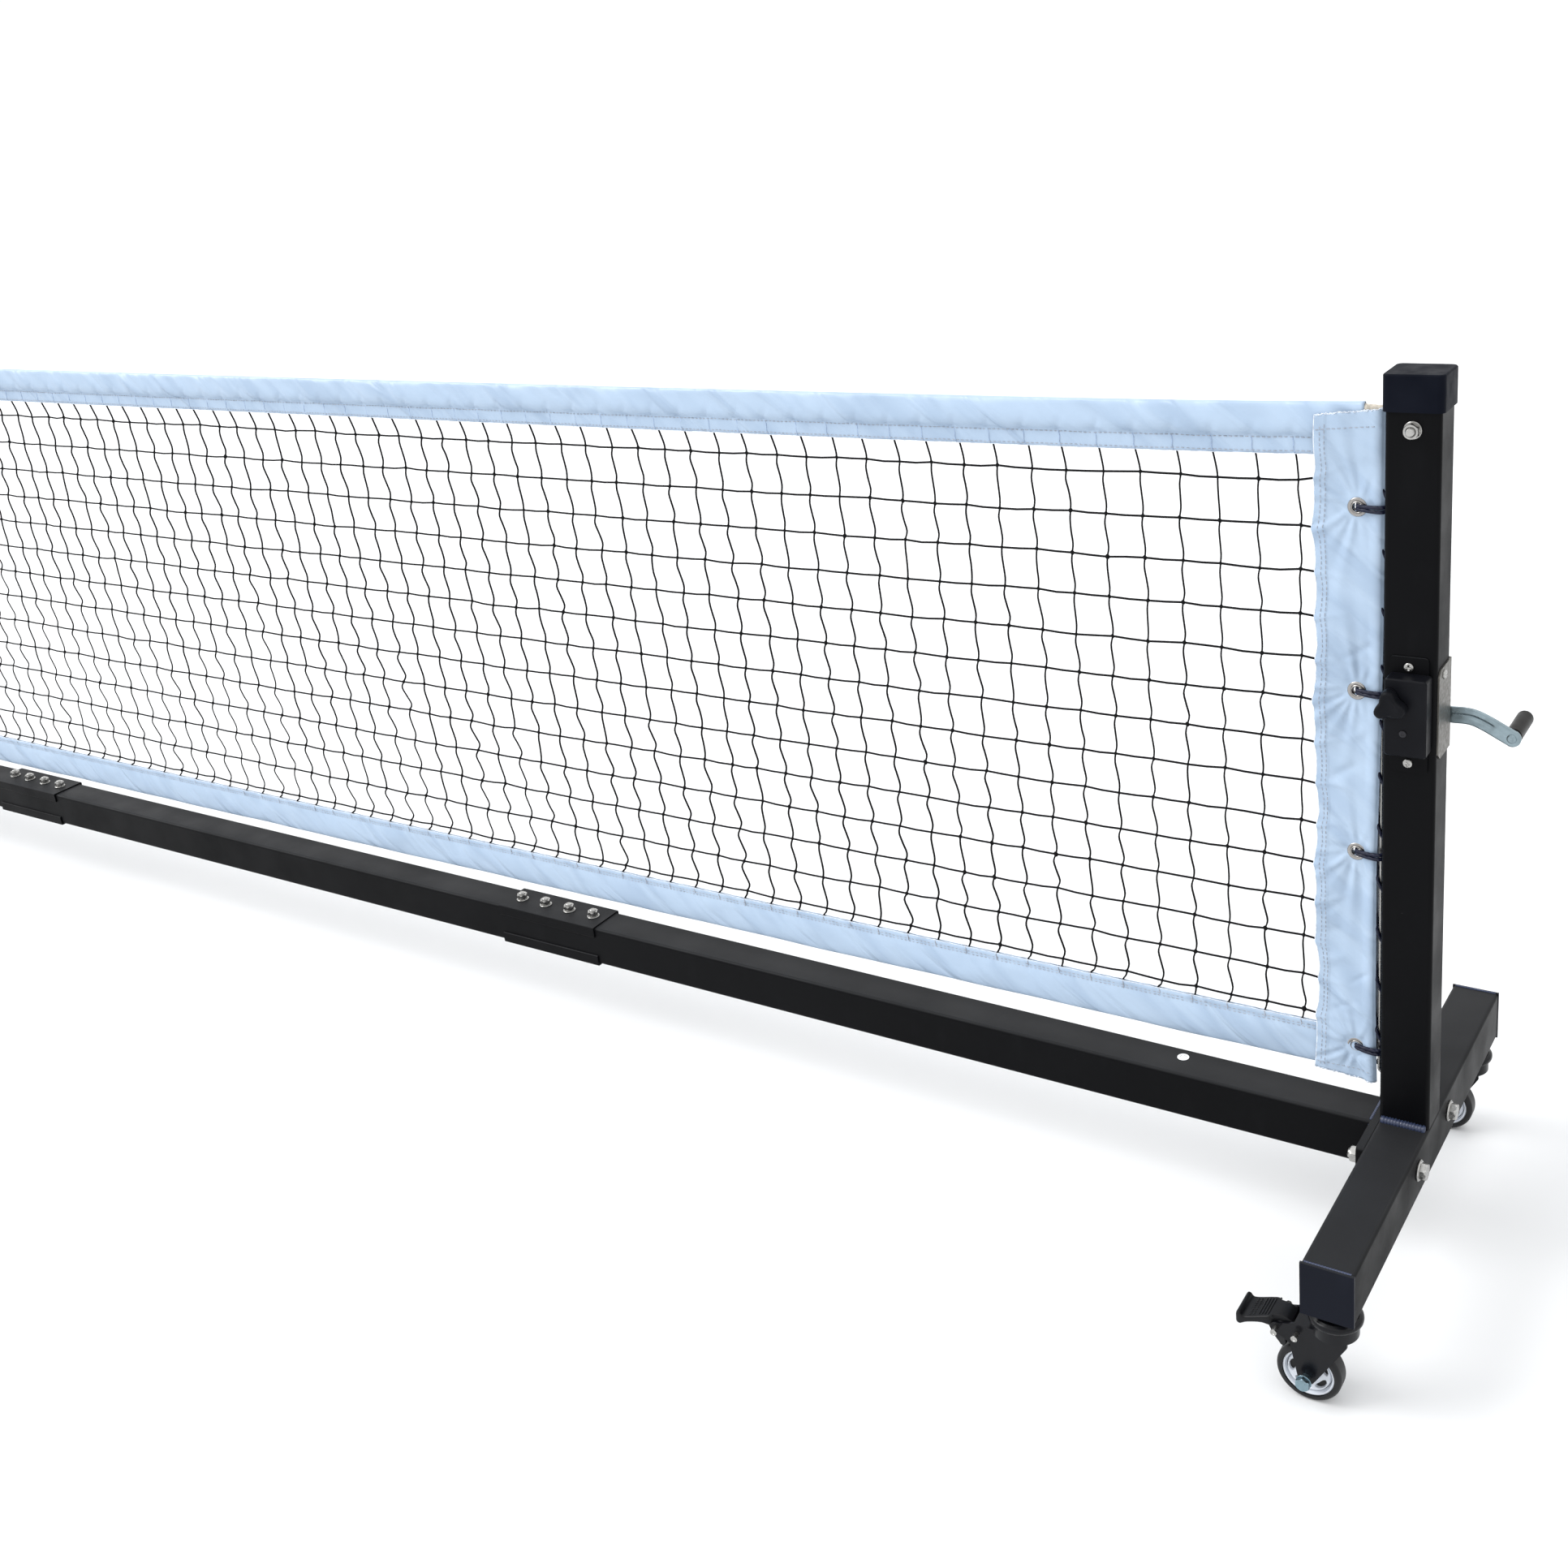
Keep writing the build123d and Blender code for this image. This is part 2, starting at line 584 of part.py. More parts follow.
with BuildPart() as crank_grip:
    with BuildSketch(front(GRIP_START + GRIP_LENGTH)):
        with Locations((grip_x, grip_z)):
            Circle(GRIP_R)
    extrude(amount=GRIP_LENGTH)
    fillet(crank_grip.edges().filter_by(GeomType.CIRCLE).sort_by(Axis.Y)[-1], 3.0)
    fillet(crank_grip.edges().filter_by(GeomType.CIRCLE).sort_by(Axis.Y)[0], 1.0)
    with BuildSketch(front(GRIP_START + 45)):
        with Locations((grip_x, grip_z)):
            Circle(3.08)
    extrude(amount=45, mode=Mode.SUBTRACT)
write(crank_grip, "crank_grip")

with BuildPart() as lock_knob:
    knob_back = PLATE_FRONT - HOUSING_DEPTH - 3
    with BuildSketch(front(knob_back)):
        with Locations((KNOB_X, KNOB_Z)):
            Circle(10)
            with PolarLocations(11.8, 3, start_angle=80):
                Circle(6.2)
    extrude(amount=13)
    fillet(lock_knob.faces().sort_by(Axis.Y)[0].edges(), 2.0)
    with BuildSketch(front(-34.5)):
        with Locations((KNOB_X, KNOB_Z)):
            Circle(4)
    extrude(amount=-34.5 - knob_back)
write(lock_knob, "lock_knob")

# ---- head pulley, its axle, and the cable's anchor in the left post ----
with BuildPart() as head_pulley:
    axle_plane = Plane((POST_X, 0, PULLEY_Z), x_dir=(1, 0, 0), z_dir=(0, 0, 1))
    with BuildSketch(axle_plane):
        with BuildLine():
            groove = PULLEY_R - CABLE_R - 0.3
            Polyline(
                (4.08, -6), (15.5, -6), (15.5, -3.5), (groove + 2, -2.5), (groove, -1.5), (groove, 1.5),
                (groove + 2, 2.5), (15.5, 3.5), (15.5, 6), (4.08, 6), close=True,
            )
        make_face()
    revolve(axis=Axis(axle_plane.origin, (0, 1, 0)))
write(head_pulley, "head_pulley")

with BuildPart() as cross_bolts:
    # one bolt across each post's top: the pulley turns on the right one, the left holds the anchor
    for _, sx in SIDES:
        centre = (sx * POST_X, PULLEY_Z)
        half = POST_D / 2
        spacer = half - WALL - 0.2 - 6.4
        # (front face of the piece, length towards the rear, radius, hexagonal, bore)
        stack = (
            (-half - 12, POST_D + 12, 4, False, 0),
            (half, 5.3, HEX_8, True, 0),
            (-half - 1.6, 1.6, 9, False, 4.1),
            (-half - 8.1, 6.5, HEX_8, True, 4.1),
            (-6.4 - spacer, spacer, 7, False, 4.1),
            (6.4, spacer, 7, False, 4.1),
        )
        for start, length, radius, is_hex, bore in stack:
            with BuildSketch(front(start + length)):
                with Locations(centre):
                    if is_hex:
                        RegularPolygon(radius, 6)
                    else:
                        Circle(radius)
                    if bore:
                        Circle(bore, mode=Mode.SUBTRACT)
            extrude(amount=length)
write(cross_bolts, "cross_bolts")

with BuildPart() as cable_anchor:
    with Locations((-POST_X, 0, PULLEY_Z + 6)):
        Box(30, 12, 32)
    with Locations((-POST_X, 0, PULLEY_Z)):
        along_y(4.1, 20, mode=Mode.SUBTRACT)
    with Locations((-POST_X + 10, 0, anchor_z)):
        along_x(CABLE_R + 0.5, 30, mode=Mode.SUBTRACT)
write(cable_anchor, "cable_anchor")

with BuildPart() as head_cable:
    with BuildLine(Plane.XZ) as route:
        FilletPolyline(
            (ANCHOR_X, anchor_z), (0, centre_z), (corner_x, corner_z), (corner_x, CABLE_END_Z),
            radius=[sag_r, PULLEY_R],
        )
    with BuildSketch(route.line ^ 0):
        Circle(CABLE_R)
    sweep()
    length = route.wire().length
    print("head cable length", round(length), "volume ratio",
          round(head_cable.part.volume / (math.pi * CABLE_R**2 * length), 4))
write(head_cable, "head_cable")

# ---- net ----
MESH_HALF = INNER_FACE - BAND_IN - GAP
tape_top = CABLE_R + 0.3
with BuildPart() as top_tape:
    with BuildSketch(Plane.XZ):
        with BuildLine():
            sagging_outline(MESH_HALF, lambda x: cable_z(x) - tape_top,
                            lambda x: cable_z(x) - tape_top - TAPE_H)
        make_face()
    extrude(amount=TAPE_T / 2, both=True)
write(top_tape, "top_tape")

with BuildPart() as net_mesh:
    with BuildSketch(Plane.XZ):
        with BuildLine():
            sagging_outline(MESH_HALF, lambda x: cable_z(x) - tape_top - TAPE_H - GAP,
                            lambda x: bottom_z(x, BOTTOM_TAPE_TOP) + GAP)
        make_face()
    extrude(amount=MESH_T / 2, both=True)
write(net_mesh, "net_mesh")

with BuildPart() as bottom_tape:
    with BuildSketch(Plane.XZ):
        with BuildLine():
            sagging_outline(MESH_HALF, lambda x: bottom_z(x, BOTTOM_TAPE_TOP),
                            lambda x: bottom_z(x, BOTTOM_TAPE_TOP - BOTTOM_TAPE_H))
        make_face()
    extrude(amount=TAPE_T / 2, both=True)
write(bottom_tape, "bottom_tape")

GROMMETS = [(sx * (INNER_FACE - GROMMET_IN), z) for _, sx in SIDES for z in GROMMET_Z]
with BuildPart() as side_bands:
    with BuildSketch(Plane.XZ):
        with Locations(*((sx * (INNER_FACE - (BAND_IN + BAND_OUT) / 2), (BAND_TOP + BAND_BOTTOM) / 2)
                         for _, sx in SIDES)):
            Rectangle(BAND_IN - BAND_OUT, BAND_TOP - BAND_BOTTOM)
        with Locations(*GROMMETS):
            Circle(GROMMET_R + 1.0, mode=Mode.SUBTRACT)
    extrude(amount=TAPE_T / 2, both=True)
write(side_bands, "side_bands")

with BuildPart() as grommets:
    for x, z in GROMMETS:
        with BuildSketch(Plane((x, 0, z), x_dir=(1, 0, 0), z_dir=(0, 0, 1))):
            with Locations((GROMMET_R + 0.4, 0)):
                Rectangle(0.8, TAPE_T + 1.7)
            for sign in (-1, 1):
                with Locations((GROMMET_R + 1.75, sign * (TAPE_T / 2 + 0.45))):
                    Rectangle(3.5, 0.8)
        revolve(axis=Axis((x, 0, z), (0, 1, 0)))
write(grommets, "grommets")

BAR_TOP = 886.0
BAR_LOW = 217.0
with BuildPart() as lacing_bars:
    for _, sx in SIDES:
        post_face, bar_x = sx * INNER_FACE, sx * (INNER_FACE - BAR_IN)
        with BuildLine(Plane.XZ) as bar:
            FilletPolyline((post_face, BAR_TOP), (bar_x, BAR_TOP), (bar_x, BAR_LOW), (post_face, BAR_LOW),
                           radius=3)
        with BuildSketch(bar.line ^ 0):
            Circle(BAR_R)
        sweep(path=bar.line)
write(lacing_bars, "lacing_bars")

SLEEVE_R = BAR_R + 2 * CORD_R + 0.2
with BuildPart() as lacing_cords:
    # the cord's turns round the bar fill one sleeve, and a doubled strand leaves it at each grommet
    with BuildSketch(Plane.XY.offset(BAR_LOW + 6)):
        with Locations(*((sx * (INNER_FACE - BAR_IN), 0) for _, sx in SIDES)):
            Circle(SLEEVE_R)
            Circle(BAR_R + 0.15, mode=Mode.SUBTRACT)
    extrude(amount=BAR_TOP - BAR_LOW - 12)
    strand_y = -(TAPE_T / 2 + 1.25 + CORD_R)
    for _, sx in SIDES:
        for z in GROMMET_Z:
            for dz in (-CORD_R - 0.1, CORD_R + 0.1):
                start = (sx * (INNER_FACE - BAR_IN - 2), strand_y + 0.6, z + dz - 3)
                turn = (sx * (INNER_FACE - GROMMET_IN), strand_y, z + dz)
                tail = (sx * (INNER_FACE - GROMMET_IN), 4, z + dz)
                with BuildLine() as strand:
                    FilletPolyline(start, turn, tail, radius=4)
                with BuildSketch(strand.line ^ 0):
                    Circle(CORD_R)
                sweep(path=strand.line)
write(lacing_cords, "lacing_cords")
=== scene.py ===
import json
import math

import bpy
import numpy as np
from mathutils import Matrix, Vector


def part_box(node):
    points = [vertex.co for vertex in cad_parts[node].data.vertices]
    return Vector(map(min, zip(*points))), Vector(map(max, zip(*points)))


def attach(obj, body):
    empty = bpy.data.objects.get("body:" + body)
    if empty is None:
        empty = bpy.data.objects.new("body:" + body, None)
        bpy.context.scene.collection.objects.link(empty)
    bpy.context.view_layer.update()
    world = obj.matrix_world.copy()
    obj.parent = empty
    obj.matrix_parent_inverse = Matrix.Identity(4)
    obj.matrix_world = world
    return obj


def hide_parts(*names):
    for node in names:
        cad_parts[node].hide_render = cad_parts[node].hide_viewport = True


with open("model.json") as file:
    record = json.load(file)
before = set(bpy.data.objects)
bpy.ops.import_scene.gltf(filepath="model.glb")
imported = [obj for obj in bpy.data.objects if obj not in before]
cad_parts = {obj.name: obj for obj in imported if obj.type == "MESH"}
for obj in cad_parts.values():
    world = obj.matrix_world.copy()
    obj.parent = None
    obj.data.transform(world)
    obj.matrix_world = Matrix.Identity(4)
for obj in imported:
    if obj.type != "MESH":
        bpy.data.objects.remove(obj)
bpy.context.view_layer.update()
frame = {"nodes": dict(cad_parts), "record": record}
MM = 0.001
rng = np.random.default_rng(7)


def box(node):
    """A CAD node's lowest and highest corners in millimetres."""
    low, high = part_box(node)
    return np.array(low) * 1000, np.array(high) * 1000


# ---------------- sizes read from the frame
post_low, post_high = box("post_right")
INNER = post_low[0]                        # the posts' inner faces are at X = +-INNER
OUTER = post_high[0]
POST_X = (INNER + OUTER) / 2
HALF_D = post_high[1]
FOOT_TOP = post_low[2]
band_low, band_high = box("side_bands")
tape_low, tape_high = box("top_tape")
MESH_HALF = tape_high[0]                   # the netting and the CAD tapes end at X = +-MESH_HALF
BAND_IN = INNER - MESH_HALF                # how far the bands' hems are from the posts
BAND_BOTTOM, BAND_TOP = band_low[2], band_high[2]
TAPE_H = 44.0
LOW_TAPE_H = 48.0
SAG = tape_high[2] - TAPE_H - tape_low[2]
CABLE_R = 2.0
CABLE_PLAY = 0.3
cable_end = tape_high[2] + CABLE_R + CABLE_PLAY   # the cable's centre line at the bands' hems
low_top_end = box("bottom_tape")[0][2] + LOW_TAPE_H + SAG
beam_low, beam_high = box("beam_section_3")
BEAM_TOP = beam_high[2]
BEAM_HALF = beam_high[1]


def sag(x):
    """How far the net hangs below its height at the bands' hems."""
    return SAG * (1 - (np.asarray(x, float) / MESH_HALF) ** 2)


def xyz(x, y, z):
    """Points from coordinates that are numbers or arrays."""
    return np.stack(np.broadcast_arrays(*(np.asarray(value, float) for value in (x, y, z))), -1)


# ---------------- materials
class Nodes:
    """Adds nodes to one tree."""

    def __init__(self, tree):
        self.tree = tree

    def node(self, kind, inputs=(), **settings):
        made = self.tree.nodes.new(kind)
        for key, value in settings.items():
            setattr(made, key, value)
        for key, value in dict(inputs).items():
            made.inputs[key].default_value = value
        return made

    def link(self, a, b):
        self.tree.links.new(a, b)

    def remap(self, value, low, high, from_low=0.3, from_high=0.7, **settings):
        made = self.node("ShaderNodeMapRange", {"From Min": from_low, "From Max": from_high,
                                                "To Min": low, "To Max": high}, **settings)
        self.link(value, made.inputs["Value"])
        return made.outputs["Result"]

    def combine(self, operation, a, b):
        made = self.node("ShaderNodeMath", operation=operation)
        self.link(a, made.inputs[0])
        self.link(b, made.inputs[1])
        return made.outputs["Value"]


class Mat(Nodes):
    """A procedural material on one Principled shader, with textures in object coordinates (metres)."""

    def __init__(self, name, colour, rough, metal=0.0, spec=0.5):
        self.mat = bpy.data.materials.new(name)
        self.mat.use_nodes = True
        super().__init__(self.mat.node_tree)
        self.bsdf = self.tree.nodes["Principled BSDF"]
        self.colour = colour
        self.bsdf.inputs["Base Color"].default_value = (*colour, 1)
        self.bsdf.inputs["Roughness"].default_value = rough
        self.bsdf.inputs["Metallic"].default_value = metal
        self.bsdf.inputs["Specular IOR Level"].default_value = spec
        self.coords = self.node("ShaderNodeTexCoord").outputs["Object"]
        self.normal = None

    def stretched(self, stretch, turn=0.0):
        """Object coordinates turned about Y and stretched along the axes."""
        mapping = self.node("ShaderNodeMapping", {"Scale": tuple(1 / size for size in stretch),
                                                  "Rotation": (0, math.radians(turn), 0)},
                            vector_type="TEXTURE")
        self.link(self.coords, mapping.inputs["Vector"])
        return mapping.outputs["Vector"]

    def texture(self, made, output, stretch=None, turn=0.0):
        """The output of a texture node fed with the object coordinates."""
        self.link(self.stretched(stretch, turn) if stretch else self.coords, made.inputs["Vector"])
        return made.outputs[output]

    def noise(self, scale, detail=3.0, stretch=None, distortion=0.0, turn=0.0):
        made = self.node("ShaderNodeTexNoise", {"Scale": scale, "Detail": detail, "Distortion": distortion})
        return self.texture(made, "Fac", stretch, turn)

    def bands(self, wavelength, direction, distortion):
        """Waves of that length in metres."""
        made = self.node("ShaderNodeTexWave", {"Scale": math.tau / (20 * wavelength),
                                               "Distortion": distortion, "Detail": 1.0},
                         bands_direction=direction)
        return self.texture(made, "Fac")

    def cells(self, scale):
        return self.texture(self.node("ShaderNodeTexVoronoi", {"Scale": scale}), "Distance")

    def tint(self, factor, colour):
        """Mixes another colour in where the factor is high."""
        mix = self.node("ShaderNodeMix", data_type="RGBA")
        self.link(factor, mix.inputs["Factor"])
        before = self.bsdf.inputs["Base Color"]
        if before.links:
            self.link(before.links[0].from_socket, mix.inputs["A"])
        else:
            mix.inputs["A"].default_value = (*self.colour, 1)
        mix.inputs["B"].default_value = (*colour, 1)
        self.link(mix.outputs["Result"], before)
        return self

    def blotch(self, factor, amount, by, plus=0.0, start=0.3, end=0.7):
        """Mixes in the material's own colour, times by and with plus added, where the factor is high."""
        return self.tint(self.remap(factor, 0.0, amount, start, end), np.array(self.colour) * by + plus)

    def settle(self, colour, amount):
        """Lighter colour on the faces that look up: partly dust, partly painted top light and edge highlights."""
        split = self.node("ShaderNodeSeparateXYZ")
        self.link(self.node("ShaderNodeNewGeometry").outputs["Normal"], split.inputs["Vector"])
        return self.tint(self.combine("MULTIPLY", self.remap(split.outputs["Z"], 0.0, amount, 0.35, 0.95),
                                      self.remap(self.noise(9.0, 6.0), 0.72, 1.0)), colour)

    def roughen(self, value, low, high):
        self.link(self.remap(value, low, high), self.bsdf.inputs["Roughness"])
        return self

    def bump(self, height, strength, distance):
        """Adds one bump of that depth in metres, on top of the earlier ones."""
        made = self.node("ShaderNodeBump", {"Strength": strength, "Distance": distance})
        self.link(height, made.inputs["Height"])
        if self.normal:
            self.link(self.normal, made.inputs["Normal"])
        self.normal = made.outputs["Normal"]
        self.link(self.normal, self.bsdf.inputs["Normal"])
        return self


def painted(name, colour, rough, spec, nick=0.0, dust_and_top_light=0.0):
    """Powder coat or e-coat: orange peel, dust and painted top light on faces that look up, faint scuffs and a
    few nicks.
    """
    m = Mat(name, colour, rough, spec=spec)
    m.blotch(m.noise(5.0, 5.0), 0.55, 1.6)
    m.blotch(m.noise(38.0, 6.0, (1, 1, 0.35)), 0.5, 2.0, 0.001, 0.55, 0.8)
    if dust_and_top_light:
        # lightens the faces that look up: partly dust, partly painted top light
        m.settle((0.0215, 0.0220, 0.0235), dust_and_top_light)
    if nick:
        m.tint(m.remap(m.noise(160.0, 2.0), 0.0, 1.0, 0.80, 0.815), (nick, nick, nick))
    m.roughen(m.noise(14.0, 6.0), rough - 0.07, rough + 0.12)
    m.bump(m.noise(620.0, 2.0), 0.22, 0.00012)
    m.bump(m.noise(90.0, 3.0), 0.08, 0.0004)
    return m.mat


def metal(name, colour, rough, spangle=0.0, brushed=None):
    """Plated or brushed metal with uneven gloss, fine scratches and slight tarnish."""
    m = Mat(name, colour, rough, metal=1.0)
    m.blotch(m.noise(150.0, 5.0), 0.6, 0.72)
    if spangle:
        m.blotch(m.cells(spangle), 0.5, 1.18, start=0.2, end=0.8)
    m.roughen(m.noise(260.0, 4.0), rough - 0.1, rough + 0.14)
    m.bump(m.noise(900.0, 2.0, brushed), 0.12, 0.00005)
    return m.mat


def plastic(name, colour, rough, grain, spec=0.4):
    """Moulded plastic with a fine grain."""
    m = Mat(name, colour, rough, spec=spec)
    m.blotch(m.noise(24.0, 5.0), 0.5, 1.5, 0.003)
    m.roughen(m.noise(60.0, 4.0), rough - 0.08, rough + 0.1)
    m.bump(m.noise(grain, 2.0), 0.25, 0.00008)
    return m.mat


def coated_cloth(name, colour, rough):
    """Vinyl on a woven scrim: the weave shows faintly through the coating."""
    m = Mat(name, colour, rough, spec=0.35)
    m.blotch(m.noise(7.0, 4.0), 0.5, (0.9, 0.93, 0.97))
    m.blotch(m.noise(46.0, 6.0, (0.5, 1, 1.6)), 0.30, (0.84, 0.86, 0.88), start=0.52, end=0.8)
    # slanting pulls in the cloth as relief, and painted fold shade as a darker tint along the same noise
    pull_relief_and_shade = m.noise(21.0, 1.6, (1.9, 1, 0.32), 0.8, -52.0)
    m.blotch(pull_relief_and_shade, 0.75, (0.80, 0.83, 0.87), start=0.46, end=0.66)
    m.roughen(m.noise(30.0, 5.0), rough - 0.08, rough + 0.12)
    m.bump(m.bands(0.0011, "X", 0.3), 0.10, 0.00006)
    m.bump(m.bands(0.0011, "Z", 0.3), 0.10, 0.00006)
    m.bump(m.noise(120.0, 5.0, (1, 1, 0.6)), 0.22, 0.0006)
    m.bump(pull_relief_and_shade, 0.80, 0.0070)
    return m.mat


def twisted(name, colour, pitch, rough=0.6, spec=0.3):
    """Twine or braided cord, with slanting strands."""
    m = Mat(name, colour, rough, spec=spec)
    m.blotch(m.noise(220.0, 4.0), 0.6, 2.0)
    m.bump(m.bands(pitch, "DIAGONAL", 0.6), 0.8, 0.0004)
    m.roughen(m.noise(300.0, 3.0), rough - 0.1, rough + 0.15)
    return m.mat


POWDER = painted("powder_coat", (0.0021, 0.0022, 0.0027), 0.42, 0.06, nick=0.06, dust_and_top_light=1.0)
BLUE_COAT = painted("blue_black_coat", (0.0034, 0.0044, 0.0085), 0.36, 0.08, nick=0.06, dust_and_top_light=1.0)
E_COAT = painted("e_coat", (0.0026, 0.0028, 0.0040), 0.24, 0.20)
CAP = plastic("cap_plastic", (0.0030, 0.0040, 0.0080), 0.50, 700.0, 0.04)
BLACK = plastic("black_plastic", (0.0032, 0.0035, 0.0050), 0.40, 500.0, 0.09)
PEDAL = plastic("pedal_plastic", (0.0036, 0.0038, 0.0048), 0.34, 300.0, 0.18)
GRIP = plastic("grip_rubber", (0.0050, 0.0042, 0.0034), 0.34, 900.0, 0.12)
TYRE = plastic("tyre_rubber", (0.0040, 0.0040, 0.0050), 0.38, 260.0, 0.30)
RIM = plastic("rim_plastic", (0.56, 0.59, 0.64), 0.34, 240.0, 0.45)
ZINC = metal("zinc_plate", (0.25, 0.315, 0.345), 0.34, spangle=90.0)
AXLE = metal("blue_zinc", (0.24, 0.34, 0.39), 0.30)
BRIGHT = metal("bright_plate", (0.43, 0.425, 0.41), 0.26)
DARK_SCREW = metal("black_oxide", (0.045, 0.045, 0.05), 0.35)
STAINLESS = metal("brushed_stainless", (0.150, 0.143, 0.130), 0.42, brushed=(1, 1, 12))
MACHINED = metal("machined_steel", (0.45, 0.45, 0.45), 0.36)
NICKEL = metal("nickel", (0.36, 0.345, 0.33), 0.28)
VINYL = coated_cloth("pale_vinyl", (0.383, 0.484, 0.612), 0.38)
BACKING = coated_cloth("grey_backing", (0.36, 0.37, 0.39), 0.6)
TWINE = twisted("black_twine", (0.0035, 0.0035, 0.0040), 0.0016, 0.7, 0.1)
LACE = twisted("navy_cord", (0.0035, 0.0050, 0.0170), 0.0030, 0.45)
STRAP = twisted("beige_strap", (0.46, 0.42, 0.36), 0.0022, 0.7)
WIRE = metal("steel_cable", (0.55, 0.53, 0.49), 0.40)
THREAD = twisted("grey_thread", (0.30, 0.31, 0.34), 0.0012, 0.7)
# blue-grey threads that paint the strings' shadow on the skirt
SHADOW_THREAD = twisted("blue_grey_thread", (0.30, 0.38, 0.52), 0.0012, 0.7)
RAW_EDGE = twisted("raw_edge", (0.56, 0.60, 0.66), 0.0010, 0.75)
WELD = painted("weld_bead", (0.022, 0.030, 0.062), 0.28, 0.45)
LABEL = plastic("white_label", (0.78, 0.79, 0.80), 0.4, 300.0)
LABEL_INK = plastic("label_ink", (0.10, 0.12, 0.16), 0.5, 300.0)

SLOTS = {
    "powder_coat": POWDER, "cap_plastic": CAP, "black_plastic": BLACK, "caster_steel": E_COAT,
    "grip": GRIP, "tyre": TYRE, "rim": RIM, "zinc": ZINC, "fastener": BRIGHT, "stainless": STAINLESS,
    "winch_metal": MACHINED, "vinyl": VINYL, "twine": TWINE, "shock_cord": LACE, "cable": WIRE,
    "grommet": NICKEL,
}
OTHERWISE = {"foot_end_plates": BLUE_COAT}     # nodes whose coat isn't their slot's usual one
for part in frame["record"]["subparts"]:
    material = OTHERWISE.get(part["node"], SLOTS[part["material_slot"]])
    for slot in frame["nodes"][part["node"]].material_slots:
        slot.material = material


# ---------------- mesh helpers
class Bag:
    """Gathers the vertices (millimetres) and faces of one piece."""

    def __init__(self):
        self.points, self.faces, self.count = [], [], 0

    def grid(self, points, wrap=False):
        """A net of quads over points of shape (rows, columns, 3); wrap joins each row's ends."""
        points = np.asarray(points, float)
        index = np.arange(points[..., 0].size).reshape(points.shape[:2]) + self.count
        if wrap:
            index = np.hstack([index, index[:, :1]])
        quads = np.stack([index[:-1, :-1], index[:-1, 1:], index[1:, 1:], index[1:, :-1]], -1)
        self.points.append(points.reshape(-1, 3))
        self.faces += map(tuple, quads.reshape(-1, 4).tolist())
        self.count += points[..., 0].size
        return self

    def solid(self, points):
        """Rings of points joined into a tube and closed at both ends."""
        start = self.count
        self.grid(points, wrap=True)
        sides = len(points[0])
        self.faces.append(tuple(range(start, start + sides))[::-1])
        self.faces.append(tuple(range(self.count - sides, self.count)))

    def piece(self, name, material, body="frame", replaces=(), slot=None, angle=40):
        mesh = bpy.data.meshes.new(name)
        mesh.from_pydata((np.vstack(self.points) * MM).tolist(), [], self.faces)
        mesh.validate()
        mesh.shade_smooth()
        mesh.set_sharp_from_angle(angle=math.radians(angle))
        mesh.materials.append(material)
        made = bpy.data.objects.new(name, mesh)
        bpy.context.scene.collection.objects.link(made)
        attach(made, body)
        if replaces:
            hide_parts(*replaces)
        return made


def frames_along(path):
    """Two unit normals at each point of a path, without sudden twists."""
    path = np.asarray(path, float)
    tangent = np.gradient(path, axis=0)
    tangent /= np.linalg.norm(tangent, axis=1)[:, None]
    side = np.zeros_like(path)
    first = np.cross(tangent[0], (0.31, 0.83, 0.46))
    side[0] = first / np.linalg.norm(first)
    for i in range(1, len(path)):
        step = side[i - 1] - tangent[i] * (side[i - 1] @ tangent[i])
        side[i] = step / np.linalg.norm(step)
    return side, np.cross(tangent, side)


def tube(bag, path, radius, sides=8, caps=True):
    """A round tube along a path; radius is one number or one for each point."""
    path = np.asarray(path, float)
    side, other = frames_along(path)
    around = np.arange(sides) * math.tau / sides
    radius = np.broadcast_to(np.asarray(radius, float), (len(path),))[:, None, None]
    ring = side[:, None] * np.cos(around)[:, None] + other[:, None] * np.sin(around)[:, None]
    rings = path[:, None] + ring * radius
    if caps:
        bag.solid(rings)
    else:
        bag.grid(rings, wrap=True)


def smooth(points, per_span=6):
    """A Catmull-Rom curve through the points."""
    p = np.asarray(points, float)
    p = np.vstack([2 * p[0] - p[1], p, 2 * p[-1] - p[-2]])
    t = np.linspace(0, 1, per_span, endpoint=False)[:, None]
    out = []
    for a, b, c, d in zip(p[:-3], p[1:-2], p[2:-1], p[3:]):
        out.append(0.5 * (2 * b + (c - a) * t + (2 * a - 5 * b + 4 * c - d) * t**2
                          + (3 * b - a - 3 * c + d) * t**3))
    return np.vstack([*out, p[-2]])


def axes_for(axis):
    """Two unit vectors square to the axis."""
    axis = np.asarray(axis, float)
    across = np.array((0, 0, 1.0)) if abs(axis[2]) < 0.9 else np.array((1.0, 0, 0))
    u = np.cross(across, axis)
    u /= np.linalg.norm(u)
    return u, np.cross(axis, u)


def lathe(bag, centre, axis, profile, segments=32, shape=None):
    """Turns (radius, height) pairs about an axis. shape(angles, r, h) may change both."""
    axis = np.asarray(axis, float)
    u, v = axes_for(axis)
    angles = np.arange(segments) * math.tau / segments
    rings = []
    for radius, height in profile:
        r = np.full(segments, float(radius))
        h = np.full(segments, float(height))
        if shape:
            r, h = shape(angles, r, h)
        rings.append(np.asarray(centre) + u * (r * np.cos(angles))[:, None] + v * (r * np.sin(angles))[:, None]
                     + axis * h[:, None])
    bag.grid(np.array(rings), wrap=True)


def hexagon(across):
    """Radius limit of a hexagon across flats, for lathe shapes."""
    def shape(angles, r, h):
        return np.minimum(r, across / 2 / np.cos((angles + math.pi / 6) % (math.pi / 3) - math.pi / 6)), h
    return shape


